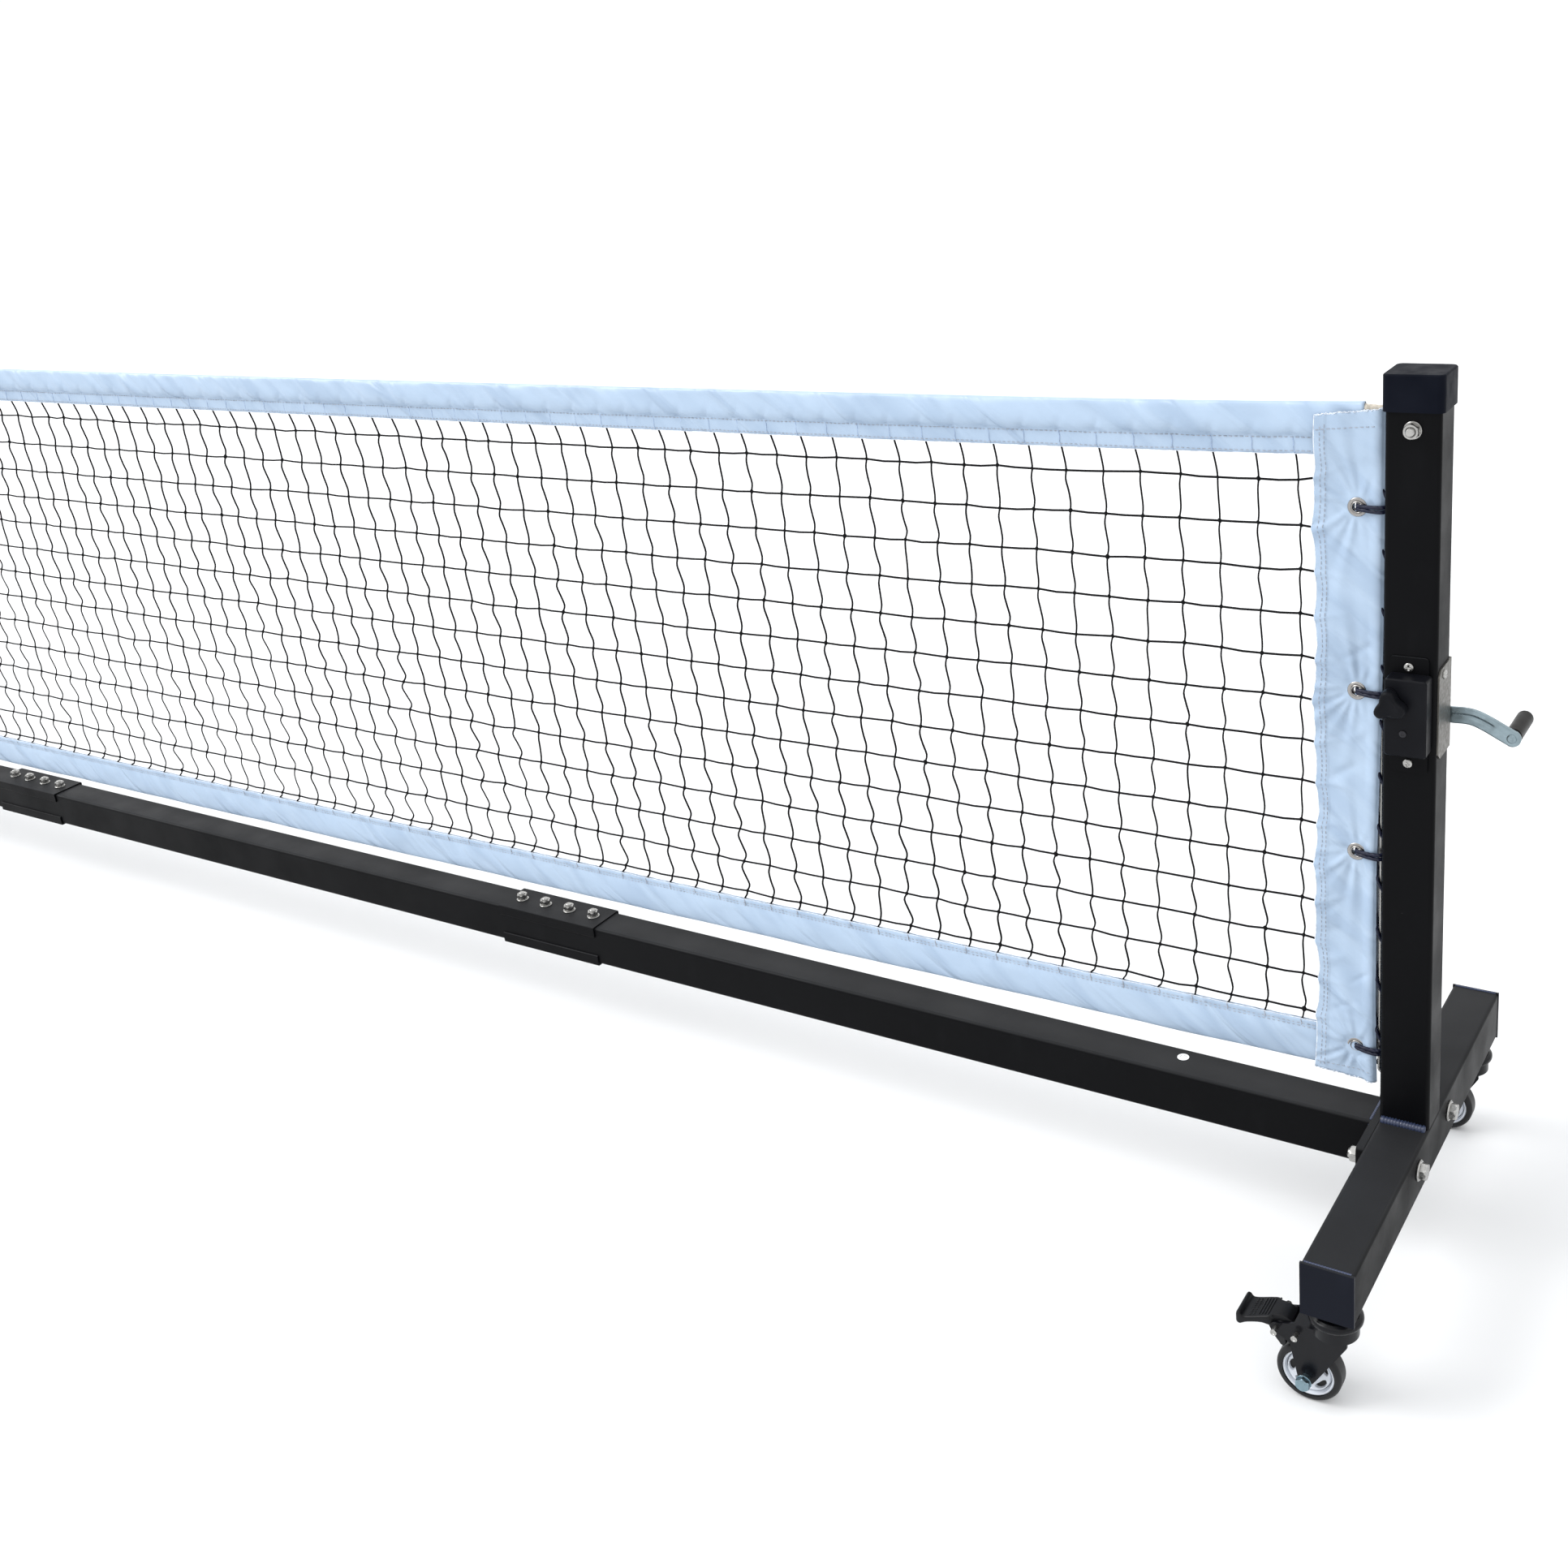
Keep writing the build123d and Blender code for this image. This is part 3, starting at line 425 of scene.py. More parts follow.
def hex_head(bag, face, axis, across, height):
    """A bolt head: six flats whose top corners are turned down."""
    corner = across / math.sqrt(3)
    lathe(bag, face, axis, [(corner, 0), (corner, height * 0.55), (corner, height * 0.74),
                            (corner * 0.955, height * 0.88), (corner * 0.885, height),
                            (corner * 0.80, height + 0.02), (corner * 0.74, height - 0.25),
                            (corner * 0.4, height - 0.25), (0.01, height - 0.13)], 48, hexagon(across))


def hex_nut(bag, face, axis, across, height, bore):
    """A nut with both sets of corners turned down and a countersunk bore."""
    corner = across / math.sqrt(3)
    lathe(bag, face, axis, [(corner * 0.88, 0), (corner * 0.95, height * 0.1), (corner, height * 0.24),
                            (corner, height * 0.76), (corner * 0.95, height * 0.9), (corner * 0.88, height),
                            (bore * 1.22, height), (bore * 1.02, height - 0.7)], 48, hexagon(across))


def washer(bag, face, axis, radius, bore, thick):
    lathe(bag, face, axis, [(bore, 0), (radius - 0.15, 0), (radius, 0.25), (radius, thick - 0.3),
                            (radius - 0.3, thick), (bore, thick)], 40)


def spring_washer(bag, face, axis, radius, bore, thick):
    """A split washer, whose ends stand apart by part of its thickness."""
    def split(angles, r, h):
        return r, h + 0.35 * thick * angles / math.tau
    lathe(bag, face, axis, [(bore, 0), (radius, 0), (radius, thick * 0.7), (bore, thick * 0.7)], 40, split)


def thread(bag, start, axis, radius, length, pitch=1.25):
    """The threaded end of a bolt, with a chamfered tip."""
    steps = max(3, int(length / pitch * 4))
    profile = [(radius - 0.32 * (0.5 - 0.5 * math.cos(math.tau * i / 4)), length * i / steps)
               for i in range(steps + 1)]
    profile += [(radius - 0.75, length + 0.45), (radius - 1.6, length + 0.55), (0.01, length + 0.5)]
    lathe(bag, start, axis, profile, 24)


def pan_screw(bag, face, axis, radius, height):
    """A pan head with a cross recess."""
    def recess(angles, r, h):
        x, y = r * np.cos(angles), r * np.sin(angles)
        arm = ((np.abs(x) < 0.19 * radius) | (np.abs(y) < 0.19 * radius)) & (r < 0.62 * radius)
        return r, np.where(arm, h - 0.55 * height * (1 - r / (0.75 * radius)), h)
    profile = [(radius, 0), (radius, height * 0.3)]
    for k in np.linspace(0.95, 0.02, 16):
        profile.append((radius * k, height * (0.45 + 0.55 * math.sqrt(1 - k**2))))
    lathe(bag, face, axis, profile, 64, recess)


# ---------------- netting
ROWS, COLUMNS = 14, 165
ROW_PITCH, COLUMN_PITCH = 43.95, 40.1
FIRST_ROW = cable_end - CABLE_R - CABLE_PLAY - TAPE_H - 23.5   # height of the upper row at the hems
TWINE_R = 1.2
LAST_X = MESH_HALF - 16                    # the outermost upright strings
column_x = np.linspace(-LAST_X, LAST_X, COLUMNS)


def row_z(x, i):
    """Height of the netting's row i, counted from the top."""
    return FIRST_ROW - ROW_PITCH * i - sag(x)


def row_end(i):
    """How far above the knots' level a row's end is, where it is sewn into the hem."""
    return 4.5 if i == 0 else -2.0


def slack(x):
    """How slack the upright strings are: hardly at the posts, more towards the middle."""
    return 0.22 + 0.78 * np.clip((MESH_HALF - np.abs(x)) / 2300.0, 0, 1) ** 0.7


knot_dx = rng.normal(0, 1.1, (COLUMNS, ROWS)) * 0.7
knot_dz = rng.normal(0, 0.6, (COLUMNS, ROWS))
knot_y = rng.normal(0, 0.5, (COLUMNS, ROWS))
alternate = np.where((np.arange(COLUMNS)[:, None] + np.arange(ROWS)[None]) % 2, 1.0, -1.0)
knots = xyz(column_x[:, None] + knot_dx + 0.9 * alternate * slack(column_x)[:, None], knot_y,
            row_z(column_x[:, None], np.arange(ROWS)[None]) + knot_dz)

uprights, rows = Bag(), Bag()
for j in range(COLUMNS):
    x = column_x[j]
    a = slack(x)
    # from inside the top tape, through the knots with an S between each two, into the bottom tape
    top_z = cable_end - CABLE_R - TAPE_H - sag(x) + 6
    bottom_z = low_top_end - sag(x) - 5
    lean = 9.0 * a + rng.normal(0, 0.8)
    first, last = knots[j, 0], knots[j, -1]
    path = [(first[0] - lean - 2, 0.0, top_z), (first[0] - lean, 0.0, top_z - 7),
            (first[0] - lean * 0.35 + 1.6 * a, 0.2, first[2] + 8)]
    for i in range(ROWS):
        path.append(knots[j, i])
        if i == ROWS - 1:
            break
        s, e = knots[j, i], knots[j, i + 1]
        amp = (4.6 * a + 0.15) * (0.6 + 0.6 * i / ROWS) * (1 + 0.3 * rng.normal())
        for t in (0.22, 0.5, 0.78):
            path.append(s + (e - s) * t + (-amp * math.sin(math.tau * t), 0.3 * rng.normal(), 0))
    foot = 9.0 * a + rng.normal(0, 1.0)
    path += [last + (-0.25 * foot, 0, -5.0), (last[0] - foot, 0.0, bottom_z + 6),
             (last[0] - foot - 1.5, 0.0, bottom_z)]
    tube(uprights, smooth(path, 3), TWINE_R, 4, caps=False)

for i in range(ROWS):
    ends = [(sign * (MESH_HALF + 6), -0.5, knots[j, i, 2] + row_end(i)) for sign, j in ((-1, 0), (1, -1))]
    path = [ends[0]]
    for j in range(COLUMNS):
        path.append(knots[j, i])
        if j < COLUMNS - 1:
            path.append((knots[j, i] + knots[j + 1, i]) / 2 + (0, 0, -0.5 + 0.35 * rng.normal()))
    path.append(ends[1])
    tube(rows, smooth(path, 1), TWINE_R, 5, caps=False)

uprights.piece("netting_uprights", TWINE, replaces=["net_mesh"], slot="twine", angle=180)
rows.piece("netting_rows", TWINE, replaces=["net_mesh"], slot="twine", angle=180)

knot_bag = Bag()
ring = np.arange(6) * math.tau / 6
for centre in knots.reshape(-1, 3):
    size = 1.0 + 0.12 * rng.normal()
    tilt = rng.uniform(-0.5, 0.5)
    levels = []
    for lift, r in ((-2.1, 0.9), (-1.0, 1.9), (0.9, 2.0), (2.1, 0.9)):
        levels.append(centre + size * xyz(np.cos(ring) * r + lift * tilt * 0.4, np.sin(ring) * r * 0.85, lift))
    knot_bag.solid(np.array(levels))
knot_bag.piece("netting_knots", TWINE, replaces=["net_mesh"], slot="twine", angle=180)


# ---------------- tapes
def thicken(piece, thickness, offset=0.0):
    """Gives a sheet its thickness in metres."""
    solid = piece.modifiers.new("thickness", "SOLIDIFY")
    solid.thickness = thickness
    solid.offset = offset


def from_string(x):
    """How far along the net each point is from the nearest upright string."""
    return x - column_x[np.abs(column_x[None] - x[:, None]).argmin(1)]


def strip(name, half, step, profile, heights, displace, material, replaces):
    """A folded strip along the net. profile is (y, z) down the front, round, and up the back."""
    x = np.arange(-half, half + step / 2, step)
    y, z = np.array(profile, float).T
    grid = displace(xyz(x, y[:, None], z[:, None] + heights(x)), x, y[:, None], z[:, None])
    made = Bag().grid(grid).piece(name, material, replaces=replaces, slot="vinyl", angle=180)
    thicken(made, 0.0007)
    return made


def ripple(x, seed, wavelengths, amplitude):
    """A sum of sines of uneven phase along x."""
    state = np.random.default_rng(seed)
    total = np.zeros_like(x)
    for wavelength in wavelengths:
        total = total + np.sin(x * math.tau / wavelength + state.uniform(0, math.tau)) * state.uniform(0.6, 1.0)
    return amplitude * total / len(wavelengths)


TUNNEL = 32.0                              # from the top tape's upper edge to its upper stitching
SKIRT = 17.0                               # the rest of the top tape, below that stitching
tape_front = [(-1.3, -49.3), (-1.6, -46.5), (-1.7, -43), (-1.7, -39), (-1.5, -35.5), (-1.2, -33.4), (-1.5, -32),
              (-3.6, -30.2), (-5.6, -27), (-6.3, -23), (-6.3, -18.5), (-5.7, -14), (-4.9, -9.5), (-4.0, -5.5),
              (-3.1, -2.4), (-1.8, -0.6)]
tape_profile = tape_front + [(0.0, 0.0)] + [(-y, z) for y, z in reversed(tape_front)]


def wrinkle_top(grid, x, y, z):
    """Slanting folds over the cable, puckers at the stitching, and strings pressing through the skirt."""
    state = np.random.default_rng(11)
    hump = np.where(-z < TUNNEL, np.sin(math.pi * np.clip(-z / TUNNEL, 0, 1)) ** 0.8, 0)
    bulge = np.sin(math.pi * np.clip((-z - TUNNEL) / SKIRT, 0, 1))
    for sign in (-1, 1):
        chosen = np.sign(y) == sign
        slant = x - sign * z * 1.25
        folds = np.zeros_like(slant)
        for wavelength, size in ((171, 1.0), (83, 1.0), (43, 1.1), (29, 0.8), (233, 0.9)):
            phase = state.uniform(0, math.tau)
            strength = 0.55 + 0.45 * np.sin(x * math.tau / (wavelength * 4.7) + state.uniform(0, 6))
            folds += size * strength * np.abs(np.sin(slant * math.pi / wavelength + phase)) ** 1.6
        folds -= folds.mean()
        grid[..., 1] += np.where(chosen, sign * folds * hump * 2.1, 0)
        pucker = ripple(x, 21 + sign, (13.3, 17.9, 23.0, 9.1), 1.1) * np.exp(-((z + TUNNEL) / 7.0) ** 2)
        grid[..., 1] += np.where(chosen, sign * pucker * 0.55, 0)
        # a short crease climbs from the stitching above each upright string
        leant = x - (z + TUNNEL) * 0.55 + 10
        gap = (leant - column_x[0] + 20) % COLUMN_PITCH - 20
        climb = np.exp(-((z + TUNNEL - 4) / 8.0) ** 2) * (z > -TUNNEL - 0.5)
        grid[..., 1] -= np.where(chosen, sign * 1.9 * np.exp(-(gap / 2.8) ** 2) * climb, 0)
        scallop = np.cos((x - column_x[0] + 10) * math.tau / COLUMN_PITCH) * np.exp(-((z + 31.5) / 2.6) ** 2)
        grid[..., 2] += np.where(chosen, 1.2 * scallop, 0)
        # the ends of the upright strings press through the skirt
        skirt = ((-z > TUNNEL + 1) * bulge) ** 0.5
        bow = from_string(x) - 4 * bulge + 12
        grid[..., 1] += np.where(chosen, sign * 0.75 * skirt * np.exp(-(bow / 1.6) ** 2), 0)
    grid[..., 2] += ripple(x, 5, (310, 173, 88), 0.5) * (0.2 + 0.8 * np.clip(-z / 49, 0, 1))
    grid[..., 2] += np.where(z < -45, ripple(x, 6, (41, 66, 27), 0.5), 0)
    return grid


def top_line(x):
    """The top tape's upper edge: over the cable, and lifted a little at the bands."""
    return cable_end + CABLE_R + 1.1 - sag(x) + 2.6 * np.exp((np.abs(x) - MESH_HALF) / 140)


def low_line(x):
    """The bottom tape's upper edge."""
    return low_top_end - sag(x)


TAPE_HALF = INNER - 23.0
LOW_TAPE_HALF = INNER - 19.0
top_tape = strip("top_tape_vinyl", TAPE_HALF, 3.2, tape_profile, top_line, wrinkle_top, VINYL, ["top_tape"])

low_front = [(-1.3, 0.4), (-1.7, -2), (-1.5, -5), (-1.3, -7.4), (-1.7, -9), (-2.7, -12), (-3.5, -17), (-4.0, -23),
             (-4.2, -30), (-3.9, -36), (-3.2, -41), (-2.2, -44.8), (-1.1, -47.2)]
low_profile = low_front + [(0.0, -48.0)] + [(-y, z) for y, z in reversed(low_front)]


def wrinkle_low(grid, x, y, z):
    """Long slanting waves, with a tug at each upright string."""
    state = np.random.default_rng(31)
    hump = np.sin(math.pi * np.clip((-z - 7) / 41, 0, 1)) ** 0.8
    for sign in (-1, 1):
        chosen = np.sign(y) == sign
        slant = x + sign * z * 1.3
        folds = np.zeros_like(slant)
        for wavelength, size in ((263, 0.9), (141, 0.6), (83, 0.35)):
            strength = 0.5 + 0.5 * np.sin(x * math.tau / (wavelength * 5.3) + state.uniform(0, 6))
            folds += size * strength * np.sin(slant * math.tau / wavelength + state.uniform(0, math.tau))
        grid[..., 1] += np.where(chosen, sign * folds * hump, 0)
        tug = np.exp(-((from_string(x) + 10) / 2.2) ** 2) * np.exp(-((z + 3) / 6.0) ** 2)
        grid[..., 1] += np.where(chosen, sign * 0.8 * tug, 0)
        pucker = ripple(x, 41 + sign, (14.3, 19.9, 26.0), 0.5) * np.exp(-((z + 7.4) / 5.0) ** 2)
        grid[..., 1] += np.where(chosen, sign * pucker, 0)
    grid[..., 2] += ripple(x, 8, (420, 233, 121), 0.8) * np.clip(-z / LOW_TAPE_H, 0, 1)
    return grid


bottom_tape = strip("bottom_tape_vinyl", LOW_TAPE_HALF, 4.0, low_profile, low_line, wrinkle_low, VINYL,
                    ["bottom_tape"])

STITCH = 3.4                               # length of a stitch


def stitch_row(bag, path, out, gap, width):
    """Short rounded stitches along a path of (n, 3) points; out is the direction they stand proud."""
    path = np.asarray(path, float)
    steps = np.linalg.norm(np.diff(path, axis=0), axis=1)
    along = np.concatenate([[0], np.cumsum(steps)])
    lift = np.array([-0.25, 0.28, 0.28, -0.25])
    out = np.asarray(out, float)
    for start in np.arange(0, along[-1] - STITCH, STITCH + gap):
        at = start + STITCH * np.array([0, 0.25, 0.75, 1.0])
        line = np.stack([np.interp(at, along, path[:, k]) for k in range(3)], -1)
        tangent = line[-1] - line[0]
        tangent /= np.linalg.norm(tangent)
        across = np.cross(tangent, out)
        centre = line + out * lift[:, None]
        ringed = np.stack([centre + across * width, centre + out * width * 0.7, centre - across * width,
                           centre - out * width * 0.7], 1)
        bag.grid(ringed, wrap=True)


fine_x = np.arange(-TAPE_HALF + 3, TAPE_HALF - 3, 6.0)
for name, top, lines, seed, amplitude in (
        ("top_tape_stitching", top_line, ((TUNNEL + 1.6, 1.95), (TUNNEL + 14.6, 2.15)), 51, 0.5),
        ("bottom_tape_stitching", low_line, ((4.6, 2.0), (8.0, 1.9)), 71, 0.4)):
    stitches = Bag()
    for sign in (-1, 1):
        for drop, y in lines:
            wiggle = ripple(fine_x, seed + int(drop), (61, 133, 37), amplitude)
            stitch_row(stitches, xyz(fine_x, sign * y, top(fine_x) - drop + wiggle), (0, sign, 0), 2.0, 0.34)
    stitches.piece(name, THREAD, slot="vinyl", angle=180)

# raw cut edges of the tapes: a thin frayed cord of threads along each lower or upper edge
frayed = Bag()
for sign in (-1, 1):
    for y, z, top in ((1.45, -49.4, top_line), (1.4, 0.5, low_line)):
        wiggle = ripple(fine_x, 91 + int(-z), (17, 29, 53), 0.35)
        tube(frayed, xyz(fine_x, sign * y, top(fine_x) + z + wiggle), 0.45, 4)
frayed.piece("tape_raw_edges", RAW_EDGE, slot="vinyl", angle=180)

# thin blue-grey threads on both faces of the skirt: painted shadow of the strings inside it
skirt_shadow_threads = Bag()
for x in column_x:
    high = top_line(x) - TUNNEL
    at = x - 11.0 * slack(x) - 1.5
    for sign in (-1, 1):
        path = [(at + along, sign * out, high - drop)
                for along, out, drop in ((-1.6, 1.9, 1), (-0.2, 2.5, 6), (-0.6, 2.5, 12), (0.8, 2.0, SKIRT))]
        tube(skirt_shadow_threads, smooth(path, 2), 0.30, 4)
skirt_shadow_threads.piece("netting_skirt_shadows", SHADOW_THREAD, slot="twine", angle=180)

# loops of twine that tie the netting into the lower tape
ties = Bag()
for x in column_x:
    at = x - 9.5 * slack(x) + rng.normal(0, 0.8)
    depth = rng.uniform(6.0, 10.0)
    path = [(at + along, y, low_line(x) + lift)
            for along, y, lift in ((-1.2, 1.6, -1), (-1.0, 0, 1.4), (-0.4, -2.2, -1), (0.4, -2.4, -depth * 0.5),
                                   (0, -1.6, -depth))]
    tube(ties, smooth(path, 2), 0.42, 4)
ties.piece("netting_ties", THREAD, slot="twine", angle=180)


# ---------------- side bands
GROMMETS = (242.5, 465.5, 637.0, 819.5)
GROMMET_IN = 30.0                          # from the post's face to a grommet's middle
# directions in degrees and depths of the creases that run from each grommet
CREASES = ((-58, 1.0), (-41, 2.2), (-24, 1.2), (-4, 0.8), (17, 1.2), (38, 2.1), (57, 1.3), (79, 1.4),
           (-82, 1.5), (112, 1.2), (-108, 1.3), (146, 0.9), (-150, 0.9))
EYELET = [(9.2, -1.0), (9.4, -0.1), (9.1, 0.6), (8.3, 1.05), (7.2, 1.1), (6.4, 0.6), (6.1, 0.5), (5.8, 1.3),
          (5.2, 1.6), (4.6, 1.3), (4.3, 0.4), (4.3, -4.4), (4.9, -5.2), (6.4, -5.3), (8.2, -5.0), (8.5, -4.5)]


def ease(value):
    """A smooth step from 0 to 1."""
    value = np.clip(value, 0, 1)
    return value * value * (3 - 2 * value)


def fold_gap(z):
    """Distance from the post's face to the band's rolled edge."""
    return np.interp(z, (205, 300, 450, 600, 700, 903), (8.5, 10.0, 10.0, 6.2, 4.9, 4.4))


def band_creases(dd, zz, state):
    """Height of the creases at a distance dd from the post's face and a height zz."""
    creases = np.zeros_like(zz)
    for gz in GROMMETS:
        u, w = dd - GROMMET_IN, zz - gz
        start = 1 - np.exp(-(np.hypot(u, w) / 12.0) ** 4)
        for angle, size in CREASES:
            angle = math.radians(angle + state.uniform(-6, 6))
            length = state.uniform(40, 95) if abs(angle) < 1.6 else state.uniform(16, 30)
            forward = u * math.cos(angle) + w * math.sin(angle)
            across = -u * math.sin(angle) + w * math.cos(angle)
            width = 1.5 + 0.062 * np.maximum(forward, 0)
            fade = start * size * (forward > 0) * np.exp(-np.maximum(forward, 0) / length)
            creases += np.exp(-(across / width) ** 2) * fade * state.uniform(0.8, 1.3)
            creases -= 0.8 * np.exp(-((across - 1.8 * width) / width) ** 2) * fade
    # cross folds between the grommets, and short puckers where the twine is sewn into the hem
    for _ in range(15):
        wz = state.uniform(BAND_BOTTOM + 30, BAND_TOP - 60)
        angle = state.uniform(-0.8, 0.8)
        middle = state.uniform(12, 58)
        across = (zz - wz) * math.cos(angle) + (dd - middle) * math.sin(angle)
        along = (dd - middle) * math.cos(angle) - (zz - wz) * math.sin(angle)
        fold = state.choice((-1, 1)) * state.uniform(0.8, 1.7)
        fold = fold * np.exp(-(across / state.uniform(2.4, 6)) ** 2)
        creases += fold * np.exp(-(along / state.uniform(10, 24)) ** 2)
    for i in range(ROWS):
        across = zz - (FIRST_ROW - ROW_PITCH * i + row_end(i))
        across = across + (BAND_IN - dd) * math.tan(state.uniform(-0.5, 0.5))
        creases += 1.3 * np.exp(-(across / 2.6) ** 2) * np.exp(-(BAND_IN - dd) / 15.0)
    return creases * (1 - 0.85 * ease((BAND_BOTTOM + 24 - zz) / 20))


def side_band(side, sx):
    """One side band with its stitching, frayed edges, backing strip and eyelets."""
    # dd runs from the hem to the rolled edge beside the post, round it, and back behind
    front_n, back_n, roll_n = 46, 14, 8
    z = np.arange(BAND_BOTTOM - 1, BAND_TOP + 1.5, 2.2)
    gap = fold_gap(z)[None]
    front_d = BAND_IN + (gap + 0.6 - BAND_IN) * np.linspace(0, 1, front_n)[:, None]
    turn = np.radians(np.linspace(-90, 90, roll_n + 2)[1:-1])[:, None]
    roll_d = gap + 0.6 - 0.6 * np.cos(turn)
    back_d = gap + 0.6 + (BAND_IN - 3.6 - gap) * np.linspace(0, 1, back_n)[:, None]
    dd = np.vstack([front_d, roll_d, back_d])
    zz = np.broadcast_to(z, dd.shape).copy()
    state = np.random.default_rng(101 if sx > 0 else 202)
    # puffed out in front of the tapes, pinched flat round the grommets
    over_tape = 4.9 / (1 + np.exp(-(zz - 864) / 6.0)) + 2.6 / (1 + np.exp((zz - 262) / 7.0))
    puff = 2.6 + over_tape + 2.2 * ease((34 - dd) / 26)
    flat = np.zeros_like(zz)
    for gz in GROMMETS:
        flat = np.maximum(flat, 1 / (1 + np.exp((np.hypot(dd - GROMMET_IN, zz - gz) - 12.5) / 2.2)))
    creases = band_creases(dd, zz, state)
    low = 1.3 * np.sin(zz / 37.0 + 0.05 * dd + state.uniform(0, 6)) + 0.9 * np.sin(zz / 19.0 - 0.09 * dd + 2)
    front = -(puff + creases * 1.2 + low * 0.9) * (1 - flat) - 2.5 * flat
    settle = ease((dd - gap - 2.0) / 13)
    bowed = np.clip((dd - gap - 0.6) / 12.0, 0, 1)
    rounded = -(3.8 + (3.4 + over_tape * 0.4) * np.sqrt(1 - (1 - bowed) ** 2))
    front = front * settle + rounded * (1 - settle)
    rear = -2.6 + (4.2 + over_tape + 0.35 * low) * ease((dd - 9) / 9)
    rolled = np.broadcast_to(-3.2 + 0.6 * np.sin(turn), (roll_n, len(z)))
    y = np.vstack([front[:front_n], rolled, rear[-back_n:]])
    y[:front_n] -= 0.6 * (dd[:front_n] > BAND_IN - 11)
    # the hem wanders, drawn in at each row of the netting; the cut ends are ragged and pulled askew
    shift = 1.4 * np.sin(zz / 31.0 + 1.0) + 0.8 * np.sin(zz / 13.7)
    for i in range(ROWS):
        shift += 1.7 * np.exp(-((zz - (FIRST_ROW - ROW_PITCH * i)) / 9.0) ** 2)
    x = INNER - dd - shift * ease((dd - 46) / 23.0)
    ragged = np.sin(dd / 3.1) * 0.8 + np.sin(dd / 7.7 + 1) * 1.4
    edge = ease((zz - (BAND_TOP - 6)) / 6.0) + ease(((BAND_BOTTOM + 6) - zz) / 6.0)
    skew = (dd - gap) / (BAND_IN - gap)
    zz = zz + ragged * edge * 0.25 + (2.0 + 7.5 * (1 - skew)) * ease((zz - 865) / 38)
    zz = zz + 5.0 * skew * ease((225 - zz) / 20)
    points = xyz(sx * x, y, zz)
    bag = Bag().grid(points)
    corners = points.reshape(-1, 3)
    kept = []
    for face in bag.faces:
        mid = corners[list(face)].mean(0)
        hole = min(math.hypot(abs(mid[0]) - (INNER - GROMMET_IN), mid[2] - gz) for gz in GROMMETS)
        if hole > 4.6:
            kept.append(face if sx > 0 else face[::-1])
    bag.faces = kept
    made = bag.piece(f"side_band_{side}", VINYL, replaces=["side_bands"], slot="vinyl", angle=180)
    thicken(made, 0.0008)

    # double stitching down the hem and along the folded ends, and their frayed edges
    surface = points[:front_n]
    sewn = Bag()
    hems = [surface[round(inset / (BAND_IN - 8) * (front_n - 1)), 3:-3] for inset in (5, 9.5)]
    for path in hems + [surface[1:-2, k] for k in (5, len(z) - 7)]:
        stitch_row(sewn, path + np.array((0, -0.55, 0)), (0, -1, 0), 1.8, 0.3)
    sewn.piece(f"side_band_stitching_{side}", THREAD, slot="vinyl", angle=180)
    edges = Bag()
    tube(edges, points[0, ::2] + np.array((0, 0.1, 0)), 0.7, 5)
    for k in (0, 0, 0, -1, -1, -1):
        fringe = surface[:, k] + np.array((0, 0.2, 0)) + state.normal(0, 0.5, (front_n, 3))
        tube(edges, smooth(fringe, 2), 0.42, 4)
    edges.piece(f"side_band_frayed_{side}", RAW_EDGE, slot="vinyl", angle=180)

    # backing strip behind the rolled edge, seen beside the post
    z = np.arange(BAND_BOTTOM + 24, BAND_TOP - 22, 6.0)
    d = np.linspace(2.6, 22.0, 8)[:, None]
    y = 8.0 + 0.5 * np.sin(z / 23.0) + 0.35 * np.sin(z / 7.0 + d)
    strap = Bag().grid(xyz(sx * (INNER - d), y, z))
    backing = strap.piece(f"side_band_backing_{side}", BACKING, slot="vinyl", angle=180)
    thicken(backing, 0.0012, -1.0)

    # two-part eyelets: a rolled washer in front and the barrel's flared lip behind
    eyes = Bag()
    for gz in GROMMETS:
        lathe(eyes, (sx * (INNER - GROMMET_IN), -2.6, gz), (0, -1, 0), EYELET, 48)
    eyes.piece(f"eyelets_{side}", NICKEL, replaces=["grommets"], slot="grommet", angle=50)


# ---------------- lacing and cable ends
BAR_IN = 6.5                               # from the post's face to the middle of a lacing bar
BAR_TURN = 57.7                            # rise of the cord in one turn about the bar
bar_low, bar_high = box("lacing_bars")
# a strand from behind its grommet, over the band's edge, to behind the bar:
# (distance towards the post, depth, share of the fall, share of the spread)
STRAND = ((-2.0, 5.5, 0.0, 0.5), (-0.8, 1.5, 0.0, 0.6), (0.8, -4.0, 0.08, 0.7), (5.5, -6.2, 0.28, 0.75),
          (11, -8.0, 0.52, 0.85), (17, -9.0, 0.74, 0.95), (22.5, -9.2, 0.9, 1.0), (26.2, -7.0, 1.0, 1.0),
          (27.5, -2.5, 1.05, 1.0), (26.8, 2.5, 0.9, 1.0), (23, 6.2, 0.8, 1.0))
# (distance from the post, half width, half height) along the woven sleeve
SLEEVE = ((32, 4.2, 5.0), (26, 4.6, 5.6), (22, 4.2, 5.4), (18, 3.2, 5.0), (12, 2.9, 4.7), (5, 2.8, 4.5),
          (0.4, 2.7, 4.4))


